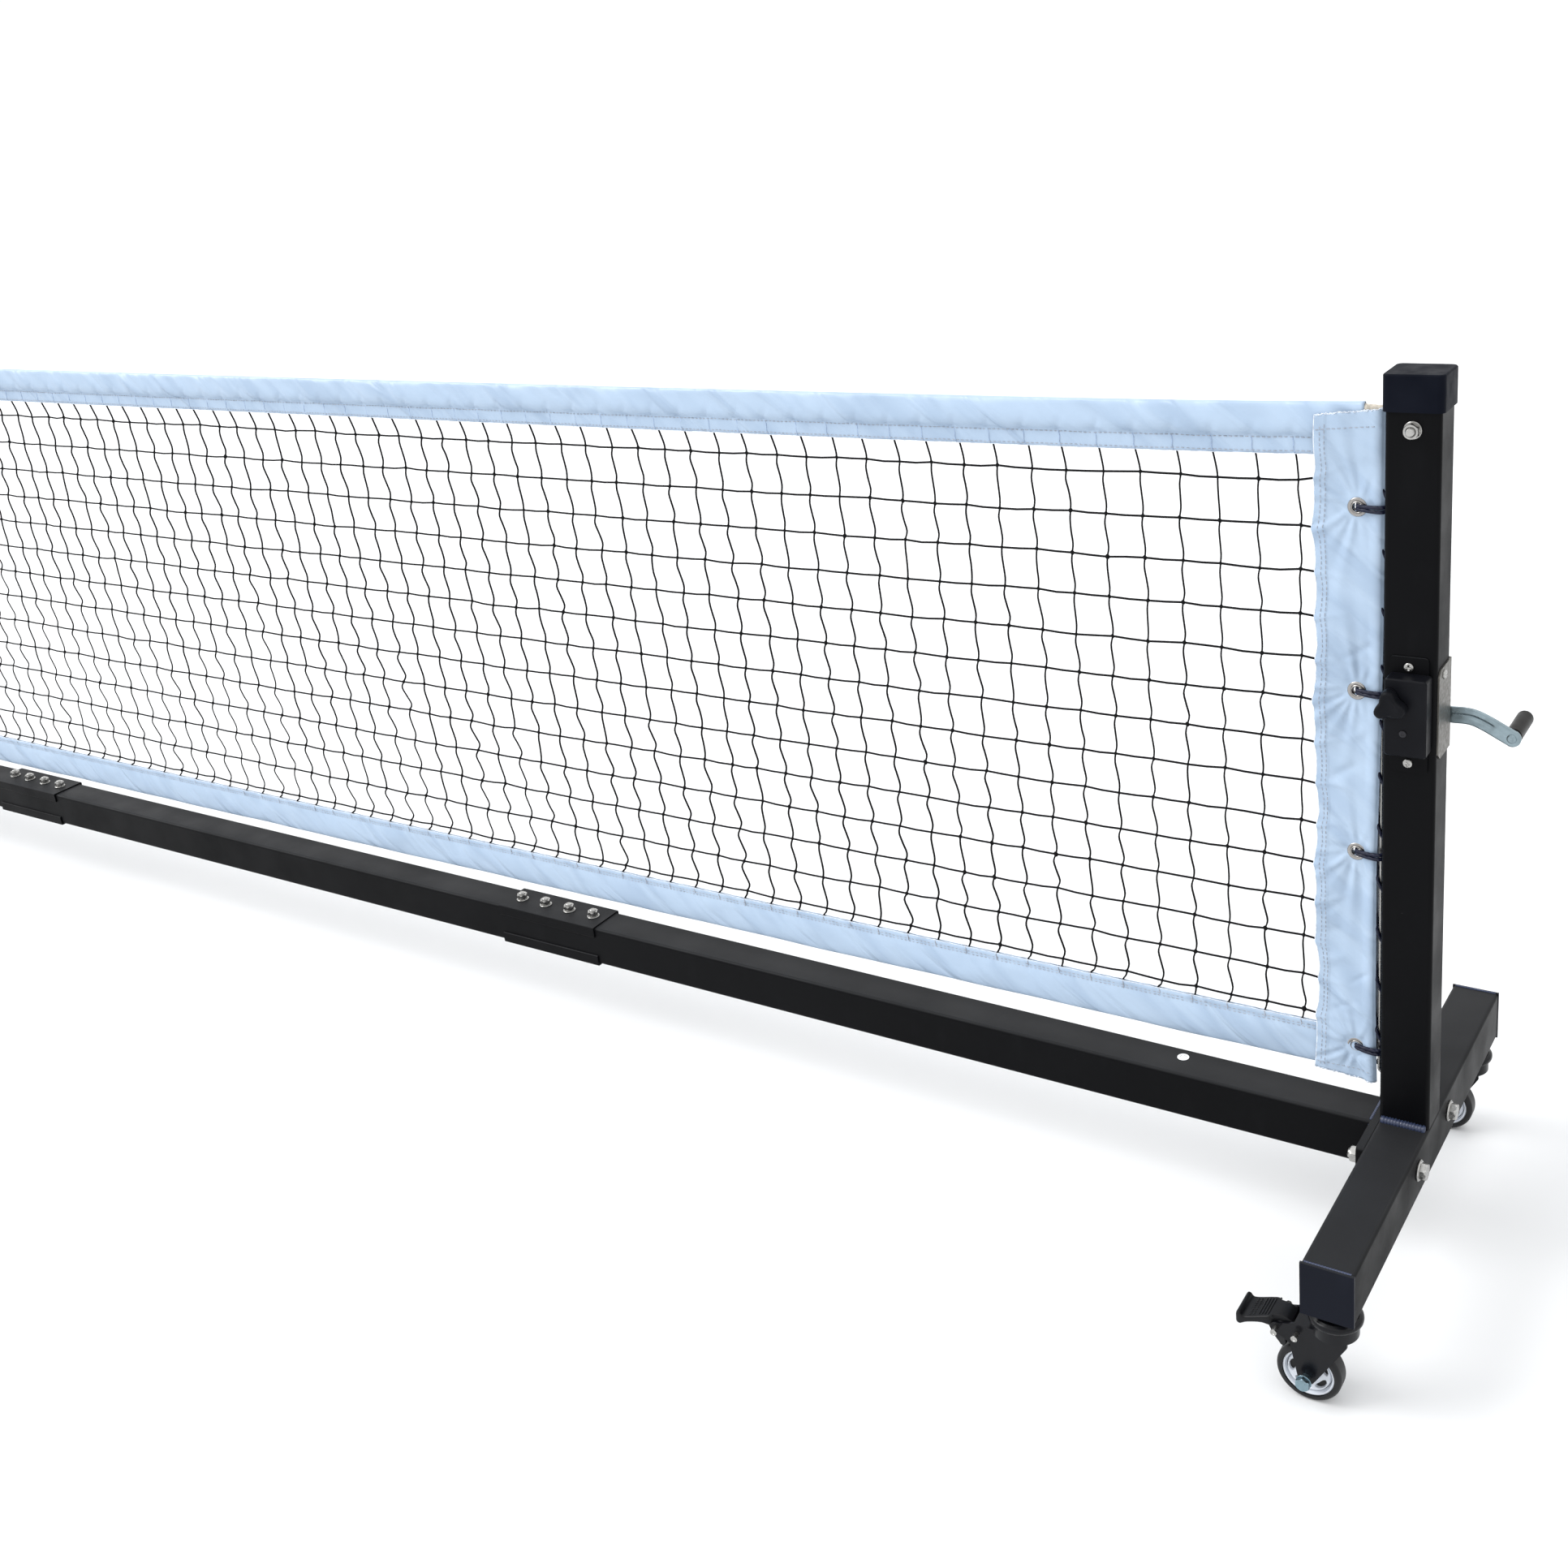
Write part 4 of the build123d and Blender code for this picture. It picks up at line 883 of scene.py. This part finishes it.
def lacing(side, sx):
    """The cord wound on one lacing bar, its strands to the eyelets, and the cable's sleeve."""
    laces = Bag()
    bottom, top = bar_low[2] + 8, bar_high[2] - 8
    turns = (top - bottom) / BAR_TURN
    t = np.linspace(0, turns * math.tau, int(turns * 26))
    state = np.random.default_rng(5)
    radius = 3.9 * (1 + 0.04 * np.sin(t * 0.37))
    tube(laces, xyz(sx * (INNER - BAR_IN - radius * np.cos(t + 0.6)), radius * np.sin(t + 0.6),
                    bottom + t / math.tau * BAR_TURN), 1.7, 10)
    for gz in GROMMETS:
        for number, dz in enumerate((2.0, -2.0)):
            fall = 0.6 + state.uniform(-0.5, 0.5)
            path = [(sx * (INNER - GROMMET_IN + along), depth - 0.35 * number, gz + fall * share + dz * spread)
                    for along, depth, share, spread in STRAND]
            tube(laces, smooth(path, 6), 1.85, 10)
    laces.piece(f"lacing_{side}", LACE, replaces=["lacing_cords"], slot="shock_cord", angle=180)

    # woven sleeve on the cable between the tape and the post
    around = np.arange(20) * math.tau / 20
    rings = [xyz(sx * (INNER - x), r * np.cos(around),
                 cable_end + (BAND_IN - x) * 0.009 - 0.6 + tall * np.sin(around)) for x, r, tall in SLEEVE]
    sleeve = Bag().grid(np.array(rings), wrap=True)
    sleeve.piece(f"cable_sleeve_{side}", STRAP, slot="cable", angle=180)


for side, sx in (("right", 1), ("left", -1)):
    side_band(side, sx)
    lacing(side, sx)

# ---------------- fasteners
JOINTS = (-2214.0, -1014.0, 1014.0, 2214.0)   # where the base beam's sections meet
BOLT_PITCH = 43.0
FOOT_BOLT_Y, FOOT_BOLT_Z = 56.0, 149.0
PLATE_SCREWS_Z, SIDE_SCREW = (675.5, 578.5), (OUTER + 1.5, -3.0, 664.0)   # the winch's screws
CORNERS = [(sx, sy) for sx in (1, -1) for sy in (1, -1)]
channel_top = box("splice_channels_upper")[1][2]
channel_bottom = box("splice_channels_lower")[0][2]
bolts = Bag()
for joint in JOINTS:
    for k in range(4):
        centre = np.array((joint + BOLT_PITCH * (k - 1.5), 0, channel_top))
        washer(bolts, centre, (0, 0, 1), 8.5, 4.1, 1.6)
        spring_washer(bolts, centre + (0, 0, 1.6), (0, 0, 1), 6.6, 4.1, 1.8)
        hex_nut(bolts, centre + (0, 0, 3.1), (0, 0, 1), 13.0, 5.6, 4.0)
        thread(bolts, centre + (0, 0, 7.5), (0, 0, 1), 4.0, 3.0)
        hex_head(bolts, (centre[0], 0, channel_bottom), (0, 0, -1), 13.0, 5.0)
bolts.piece("splice_bolts", BRIGHT, replaces=["splice_fasteners"], slot="fastener", angle=32)

bolts = Bag()
for sx, sy in CORNERS:
    outer = np.array((sx * OUTER, sy * FOOT_BOLT_Y, FOOT_BOLT_Z))
    washer(bolts, outer, (sx, 0, 0), 11.0, 5.0, 1.6)
    lathe(bolts, outer + (sx * 1.6, 0, 0), (sx, 0, 0), [(10.2, 0), (10.0, 0.7), (8.6, 1.3)], 40)
    hex_head(bolts, outer + (sx * 2.2, 0, 0), (sx, 0, 0), 16.0, 6.6)
    inner = np.array((sx * (INNER - 8.0), sy * FOOT_BOLT_Y, FOOT_BOLT_Z))
    washer(bolts, inner, (-sx, 0, 0), 10.0, 5.1, 1.6)
    hex_nut(bolts, inner - (sx * 1.6, 0, 0), (-sx, 0, 0), 16.0, 8.6, 5.0)
    thread(bolts, inner - (sx * 9.4, 0, 0), (-sx, 0, 0), 5.0, 3.2, 1.5)
bolts.piece("foot_bolts", BRIGHT, replaces=["foot_fasteners"], slot="fastener", angle=32)

PULLEY_Z = sum(box("head_pulley"))[2] / 2
bolts = Bag()
for sx in (1, -1):
    front = np.array((sx * POST_X, -HALF_D, PULLEY_Z))
    washer(bolts, front, (0, -1, 0), 8.2, 4.1, 1.6)
    hex_nut(bolts, front - (0, 1.6, 0), (0, -1, 0), 13.0, 6.3, 4.0)
    thread(bolts, front - (0, 7.0, 0), (0, -1, 0), 4.0, 4.4)
    hex_head(bolts, front + (0, 2 * HALF_D, 0), (0, 1, 0), 13.0, 5.1)
bolts.piece("post_cross_bolts", BRIGHT, slot="fastener", replaces=["cross_bolts"], angle=32)

CRANK_Z = sum(box("cable_spool"))[2] / 2
bolts = Bag()
for z in PLATE_SCREWS_Z:
    pan_screw(bolts, (POST_X, box("winch_plate")[0][1], z), (0, -1, 0), 4.5, 2.8)
pan_screw(bolts, SIDE_SCREW, (1, 0, 0), 4.5, 2.4)
bolts.piece("winch_plate_screws", BRIGHT, slot="fastener", replaces=["winch_screws"], angle=25)
bolts = Bag()
pan_screw(bolts, (POST_X, box("winch_housing")[0][1], CRANK_Z), (0, -1, 0), 3.4, 1.6)
bolts.piece("winch_cover_screw", DARK_SCREW, slot="fastener", angle=25)

# clamp knob: a collar and three broad lobes with hollow flanks
knob_low, knob_high = box("lock_knob")
KNOB_X, KNOB_Z = POST_X - 10.0, 645.5
KNOB_DEEP = (knob_high[1] - knob_low[1]) / 18.3   # the profile below is 18.3 deep
KNOB = ((6.6, 0), (6.8, 4.2), (7.4, 6.4), (10.0, 6.9), (13.8, 7.3), (15.4, 8.0), (16.1, 9.4), (16.2, 11.4),
        (16.1, 13.8), (15.7, 16.0), (14.7, 17.3), (13.0, 18.0), (10.5, 18.3), (8.0, 18.1), (6.0, 17.7),
        (3.0, 17.5), (0.01, 17.4))


def lobes(angles, r, h):
    """Pulls the grip's radius in between its three lobes."""
    reach = (9.8 + 6.4 * (0.5 + 0.5 * np.cos(3 * (angles - math.radians(99)))) ** 1.1) / 16.2
    return r * (1 + (reach - 1) * np.clip((r - 7.0) / 5.0, 0, 1)), h


knob = Bag()
lathe(knob, (KNOB_X, knob_high[1], KNOB_Z), (0, -1, 0), [(r, h * KNOB_DEEP) for r, h in KNOB], 120, lobes)
knob.piece("clamp_knob_moulded", BLACK, "lock_knob", ["lock_knob"], "black_plastic", 50)

# pressed steel crank arm: a joggled strip with rolled edges and a groove down its middle
front_y = box("crank_arm")[0][1]
spine = smooth([(0, -1), (12, -2.4), (25, -4.0), (38, -3.6), (48, -4.8), (60, -9.6), (72, -15.8), (82, -20.9)], 8)
ahead = np.gradient(spine, axis=0)
ahead /= np.linalg.norm(ahead, axis=1)[:, None]


def rounded_end(k, reach, turns):
    """Stations that round off the arm beyond point k of its spine."""
    return [(spine[k] + ahead[k] * reach * math.sin(a), ahead[k], 8.4 * math.cos(a) + 0.05) for a in turns]


stations = (rounded_end(0, -9, np.linspace(1.5, 0.1, 8)) + [(at, toward, 8.2) for at, toward in zip(spine, ahead)]
            + rounded_end(-1, 8.4, np.linspace(0.1, 1.5, 8)))
across = np.linspace(-1, 1, 21)
loops = []
for number, (at, toward, half) in enumerate(stations):
    share = number / (len(stations) - 1)
    groove = 1.3 * ease((share - 0.22) / 0.06) * ease((0.74 - share) / 0.06) * np.exp(-(across * half / 2.2) ** 4)
    rolled = 0.9 * np.clip((np.abs(across) - 0.8) / 0.2, 0, 1) ** 2
    lip = xyz(POST_X + at[0] - toward[1] * across * half, front_y + rolled + groove,
              CRANK_Z + at[1] + toward[0] * across * half)
    under = lip[::-1].copy()
    under[:, 1] = front_y + 4.0 - rolled[::-1]
    loops.append(np.vstack([lip, under]))
arm = Bag().grid(np.array(loops), wrap=True)
lathe(arm, (POST_X + spine[-1, 0], front_y + 0.2, CRANK_Z + spine[-1, 1]), (0, -1, 0),
      [(4.6, 0), (4.4, 0.7), (3.6, 1.3), (2.4, 1.5), (1.6, 1.1), (0.01, 1.0)], 32)
arm.piece("crank_arm_pressed", ZINC, "crank", ["crank_arm"], "zinc", 40)

# ---------------- welds, label
def beads(length, radius, size, wave):
    """Radii of a weld's ripples."""
    return radius + size * np.sin(length * math.tau / wave)


WELD_X = INNER - 8.4                       # the ends of the base beam
welds = Bag()
for sx in (1, -1):
    for sy in (1, -1):
        run = np.arange(INNER + 2.5, OUTER - 2, 0.8)
        tube(welds, xyz(sx * run, sy * (HALF_D + 0.6), FOOT_TOP + 0.4),
             beads(run, 4.8, 0.5, 3.1) + rng.normal(0, 0.14, len(run)), 10)
        run = np.arange(beam_low[2] + 4, BEAM_TOP - 3, 0.9)
        tube(welds, xyz(sx * WELD_X, sy * BEAM_HALF, run), beads(run, 1.9, 0.3, 2.9), 8)
    run = np.arange(-BEAM_HALF + 4, BEAM_HALF - 3, 0.9)
    for z in (BEAM_TOP, beam_low[2]):
        tube(welds, xyz(sx * WELD_X, run, z), beads(run, 1.9, 0.3, 2.9), 8)
run = np.arange(INNER + 3, OUTER - 2.5, 0.9)
for sx, sy in CORNERS:
    tube(welds, xyz(sx * run, sy * (box("foot_end_plates")[1][1] - 3.2), FOOT_TOP + 0.1),
         beads(run, 1.2, 0.2, 2.7), 8)
welds.piece("weld_beads", WELD, slot="powder_coat", angle=180)

LABEL_X, LABEL_Y = 3127.0, 8.0
label = Bag()
lathe(label, (LABEL_X, LABEL_Y, BEAM_TOP), (0, 0, 1),
      [(6.5, 0.0), (6.45, 0.18), (6.2, 0.26), (3, 0.28), (0.01, 0.28)], 40)
label.piece("round_label", LABEL, slot="vinyl", angle=50)
ink = Bag()
for start in (20, 140, 260):
    a = np.radians(np.linspace(start, start + 80, 9))
    tube(ink, xyz(LABEL_X + 3.1 * np.cos(a), LABEL_Y + 3.1 * np.sin(a), BEAM_TOP + 0.28), 0.28, 4)
ink.piece("round_label_print", LABEL_INK, slot="vinyl", angle=180)


# ---------------- casters
PEDAL_PINS_X, PEDAL_PIN_Z = (-53.0, -33.0), 79.0   # from the swivel's axis, and from the floor
RIVET = [(3.3, 0), (3.2, 0.7), (2.6, 1.2), (1.7, 1.35), (1.2, 0.8), (0.01, 0.7)]
WHEEL = [(25.5, 4.0), (25.5, 7.6), (25.1, 8.4), (24.3, 8.7), (23.3, 8.4), (22.8, 7.2), (22.4, 4.6), (21.8, 4.0),
         (21.2, 4.6), (20.9, 6.3), (20.4, 6.8),
         *((r, 6.6 - 0.5 * math.sin(math.pi * (r - 11) / 9)) for r in np.linspace(20.0, 11.0, 28)),
         (10.6, 6.8), (10.2, 8.0), (9.6, 9.6), (9.1, 10.3), (4.4, 10.3), (4.3, 4.0)]
# a black disc inside the wheel: painted shade seen in the rim's groove and the web's openings
WHEEL_SHADE_DISC = [(23.6, 2.0), (23.4, 4.45), (20, 4.0), (16, 3.4), (12, 3.6), (9, 4.0)]
RACE_LIP = [(24.6, 99.9), (25.6, 100.6), (25.9, 102.4), (25.7, 104.4), (24.6, 106.2), (22.4, 107.4)]
# (distance from the swivel, half width, upper and lower height) along a pedal, from its root to its toe
PEDAL_SHAPE = smooth([(-39, 10.4, 88.0, 80.5), (-44, 11.0, 90.6, 79.5), (-51, 11.3, 91.6, 77.0),
                      (-56, 12.4, 91.0, 77.0), (-60, 15.4, 90.0, 79.0), (-67, 15.9, 87.6, 79.6),
                      (-75, 16.1, 84.4, 77.6), (-82, 16.3, 81.8, 75.0), (-86, 16.5, 81.4, 72.8),
                      (-88.6, 16.6, 84.2, 71.2), (-91, 16.3, 84.8, 71.4), (-92.6, 15.4, 83.0, 72.6),
                      (-93.0, 13.6, 80.0, 75.6)], 3)
# the lug that turns on the pin, and the shoe that grips the tyre, from the side
LUG = np.array([(-40, 86), (-57, 85), (-62.5, 78.5), (-58, 68), (-49.5, 57.5), (-46.8, 56.7), (-44.5, 60),
                (-45, 72), (-45, 80)])
LUG_MIDDLE = np.array((-51.0, 72.0))


def openings(angles, r, h):
    """Five lens-shaped openings in the web of a wheel."""
    lens = np.full_like(r, -1.0)
    for k in range(5):
        off = (angles - k * math.tau / 5 - 0.5 + math.pi) % math.tau - math.pi
        lens = np.maximum(lens, 1 - (off * 16.4 / 7.4) ** 2 - ((r - 16.6) / 2.9) ** 2)
    return r, np.where(lens > 0, h - np.minimum(4.6, lens * 30), h)


def tread(x):
    """Height of a pedal's upper face."""
    return float(np.interp(-x, -PEDAL_SHAPE[:, 0], PEDAL_SHAPE[:, 2]))


def brake_pedal(swivel):
    """A moulded pedal, sloping down to a raised toe, with ribs and pips on its tread."""
    pedal = Bag()
    corner = np.linspace(0, math.pi / 2, 5)
    loops = []
    for x, half_w, high, low in PEDAL_SHAPE:
        r = min(2.0, (high - low) / 2.2)
        outline = []
        for turn, (side, level) in enumerate(((1, high - r), (-1, high - r), (-1, low + r), (1, low + r))):
            for c in corner + turn * math.pi / 2:
                outline.append((x, side * (half_w - r) + r * math.cos(c), level + r * math.sin(c)))
        loops.append(outline)
    pedal.solid(swivel + np.array(loops))
    inward = (LUG_MIDDLE - LUG) / np.linalg.norm(LUG_MIDDLE - LUG, axis=1)[:, None]
    layers = []
    for y, inset in ((-11.6, 0.7), (-11.1, 0.2), (-10.4, 0.0), (10.4, 0.0), (11.1, 0.2), (11.6, 0.7)):
        x, z = (LUG + inward * inset).T
        layers.append(swivel + xyz(x, y, z))
    pedal.solid(np.array(layers))
    ys = np.linspace(-12.5, 12.5, 25)
    for x in (-61.5, -64.5, -67.5, -70.5):
        tube(pedal, swivel + xyz(x, ys, tread(x)), 0.8 * np.clip((13.2 - np.abs(ys)) / 1.2, 0.3, 1), 8)
    for x in (-75.5, -79.0):
        for y in np.linspace(-11.5, 11.5, 8):
            lathe(pedal, swivel + (x, y, tread(x) - 0.3), (0, 0, 1),
                  [(1.15, 0), (0.95, 0.7), (0.45, 1.0), (0.01, 1.05)], 12)
    for z in (89.6, 79.4):
        tube(pedal, swivel + xyz(-57.6, np.linspace(-14.4, 14.4, 9), z), 1.0, 8)
    return pedal


def caster(side, sx, end):
    """The axle, rivets, wheel centre, brake pedal and raceway lip of one caster."""
    place = f"{end}_{side}"
    centre = sum(box(f"caster_tyre_{place}")) / 2
    swivel = np.array((sx * POST_X, centre[1], 0))
    half = box(f"caster_fork_{place}")[1][1] - centre[1]
    pins = Bag()
    lathe(pins, centre, (0, 1, 0), [(4.0, -half), (4.0, half)], 24)
    front, rear = centre - (0, half, 0), centre + (0, half, 0)
    washer(pins, front, (0, -1, 0), 7.6, 4.0, 0.9)
    hex_head(pins, front - (0, 0.9, 0), (0, -1, 0), 13.0, 4.6)
    washer(pins, rear, (0, 1, 0), 7.6, 4.0, 0.9)
    hex_nut(pins, rear + (0, 0.9, 0), (0, 1, 0), 13.0, 4.6, 4.0)
    thread(pins, rear + (0, 4.0, 0), (0, 1, 0), 4.0, 2.0)
    pins.piece(f"caster_axle_{place}", AXLE, f"caster_{place}", [f"caster_pins_{place}"], "fastener", 32)
    rivets = Bag()
    for x in PEDAL_PINS_X:
        lathe(rivets, swivel + (x, 0, PEDAL_PIN_Z), (0, 1, 0), [(2.5, -half), (2.5, half)], 20)
        for direction in (-1, 1):
            lathe(rivets, swivel + (x, direction * half, PEDAL_PIN_Z), (0, direction, 0), RIVET, 28)
    rivets.piece(f"caster_rivets_{place}", BRIGHT, f"caster_{place}", slot="fastener", angle=40)

    # wheel centre: lips, a dished web with its openings, and a hub; a black disc inside the wheel paints shade
    # into its groove and openings
    rim, shade_disc = Bag(), Bag()
    for direction in (-1, 1):
        lathe(rim, centre, (0, direction, 0), WHEEL, 180, openings)
        lathe(shade_disc, centre, (0, direction, 0), WHEEL_SHADE_DISC, 72)
    rim.piece(f"caster_wheel_centre_{place}", RIM, f"wheel_{place}", [f"caster_rim_{place}"], "rim", 35)
    shade_disc.piece(f"caster_wheel_shade_disc_{place}", TYRE, f"wheel_{place}", slot="tyre", angle=60)
    brake_pedal(swivel).piece(f"caster_pedal_tread_{place}", PEDAL, f"brake_{place}", [f"caster_pedal_{place}"],
                              "black_plastic", 50)

    # raceway lip under the foot
    race = Bag()
    lathe(race, swivel, (0, 0, 1), RACE_LIP, 64)
    race.piece(f"caster_race_lip_{place}", E_COAT, "frame", slot="caster_steel", angle=180)


for side, sx in (("right", 1), ("left", -1)):
    for end in ("front", "rear"):
        caster(side, sx, end)

# ---------------- floor, light, camera
def aim(made, across, above, back, spot):
    """Puts a light or camera at a spot, looking away from back."""
    scene.collection.objects.link(made)
    made.matrix_world = Matrix.Translation(spot) @ Matrix(np.stack([across, above, back], -1)).to_4x4()


bpy.ops.mesh.primitive_plane_add(size=80)
floor = bpy.context.object
floor.name = "floor"
ground = Mat("pale_floor", (0.745, 0.75, 0.755), 0.7, spec=0.1)
ground.tint(ground.remap(ground.noise(1.5, 3.0), 0.0, 0.25), (0.73, 0.735, 0.745))
floor.data.materials.append(ground.mat)

scene = bpy.context.scene
scene.view_settings.view_transform = "Standard"
scene.view_settings.look = "None"
world = bpy.data.worlds.new("studio")
scene.world = world
world.use_nodes = True
# brighter overhead, dimmer towards the camera's side and away from the zenith
nodes = Nodes(world.node_tree)
toward = nodes.node("ShaderNodeSeparateXYZ")
nodes.link(nodes.node("ShaderNodeTexCoord").outputs["Generated"], toward.inputs["Vector"])
overhead = nodes.remap(toward.outputs["Z"], 1.04, 1.55, 0.12, 0.75, interpolation_type="SMOOTHSTEP")
rear = nodes.remap(toward.outputs["Y"], 0.965, 1.0, -0.55, 0.0, interpolation_type="SMOOTHSTEP")
upper = nodes.remap(toward.outputs["Z"], 0.0, 1.0, 0.35, 0.85, interpolation_type="SMOOTHSTEP")
strength = nodes.combine("MULTIPLY", overhead, nodes.combine("MAXIMUM", rear, upper))
back = nodes.tree.nodes["Background"]
back.inputs["Color"].default_value = (0.985, 0.992, 1.0, 1)
nodes.link(strength, back.inputs["Strength"])

key = bpy.data.lights.new("key_light", "SUN")
key.energy = 1.9
key.angle = math.radians(32)
sunward = np.array((-0.85, -0.42, 0.85))
sunward /= np.linalg.norm(sunward)
aim(bpy.data.objects.new("key_light", key), *axes_for(sunward), sunward, (0, 0, 4))

YAW, PITCH, ROLL = (math.radians(a) for a in (34.5, 19.76, -5.87))
forward = np.array((-math.sin(YAW) * math.cos(PITCH), math.cos(YAW) * math.cos(PITCH), -math.sin(PITCH)))
level = np.array((math.cos(YAW), math.sin(YAW), 0))
above = np.cross(level, forward)
right = level * math.cos(ROLL) + above * math.sin(ROLL)
up = -level * math.sin(ROLL) + above * math.cos(ROLL)
lens = bpy.data.cameras.new("camera")
lens.sensor_width = 36
lens.lens = 40.71335
lens.shift_x, lens.shift_y = -0.035197, -0.085921
lens.clip_start, lens.clip_end = 0.05, 200
camera = bpy.data.objects.new("camera", lens)
aim(camera, right, up, -forward, (3.80792, -1.57204, 1.29597))
scene.camera = camera
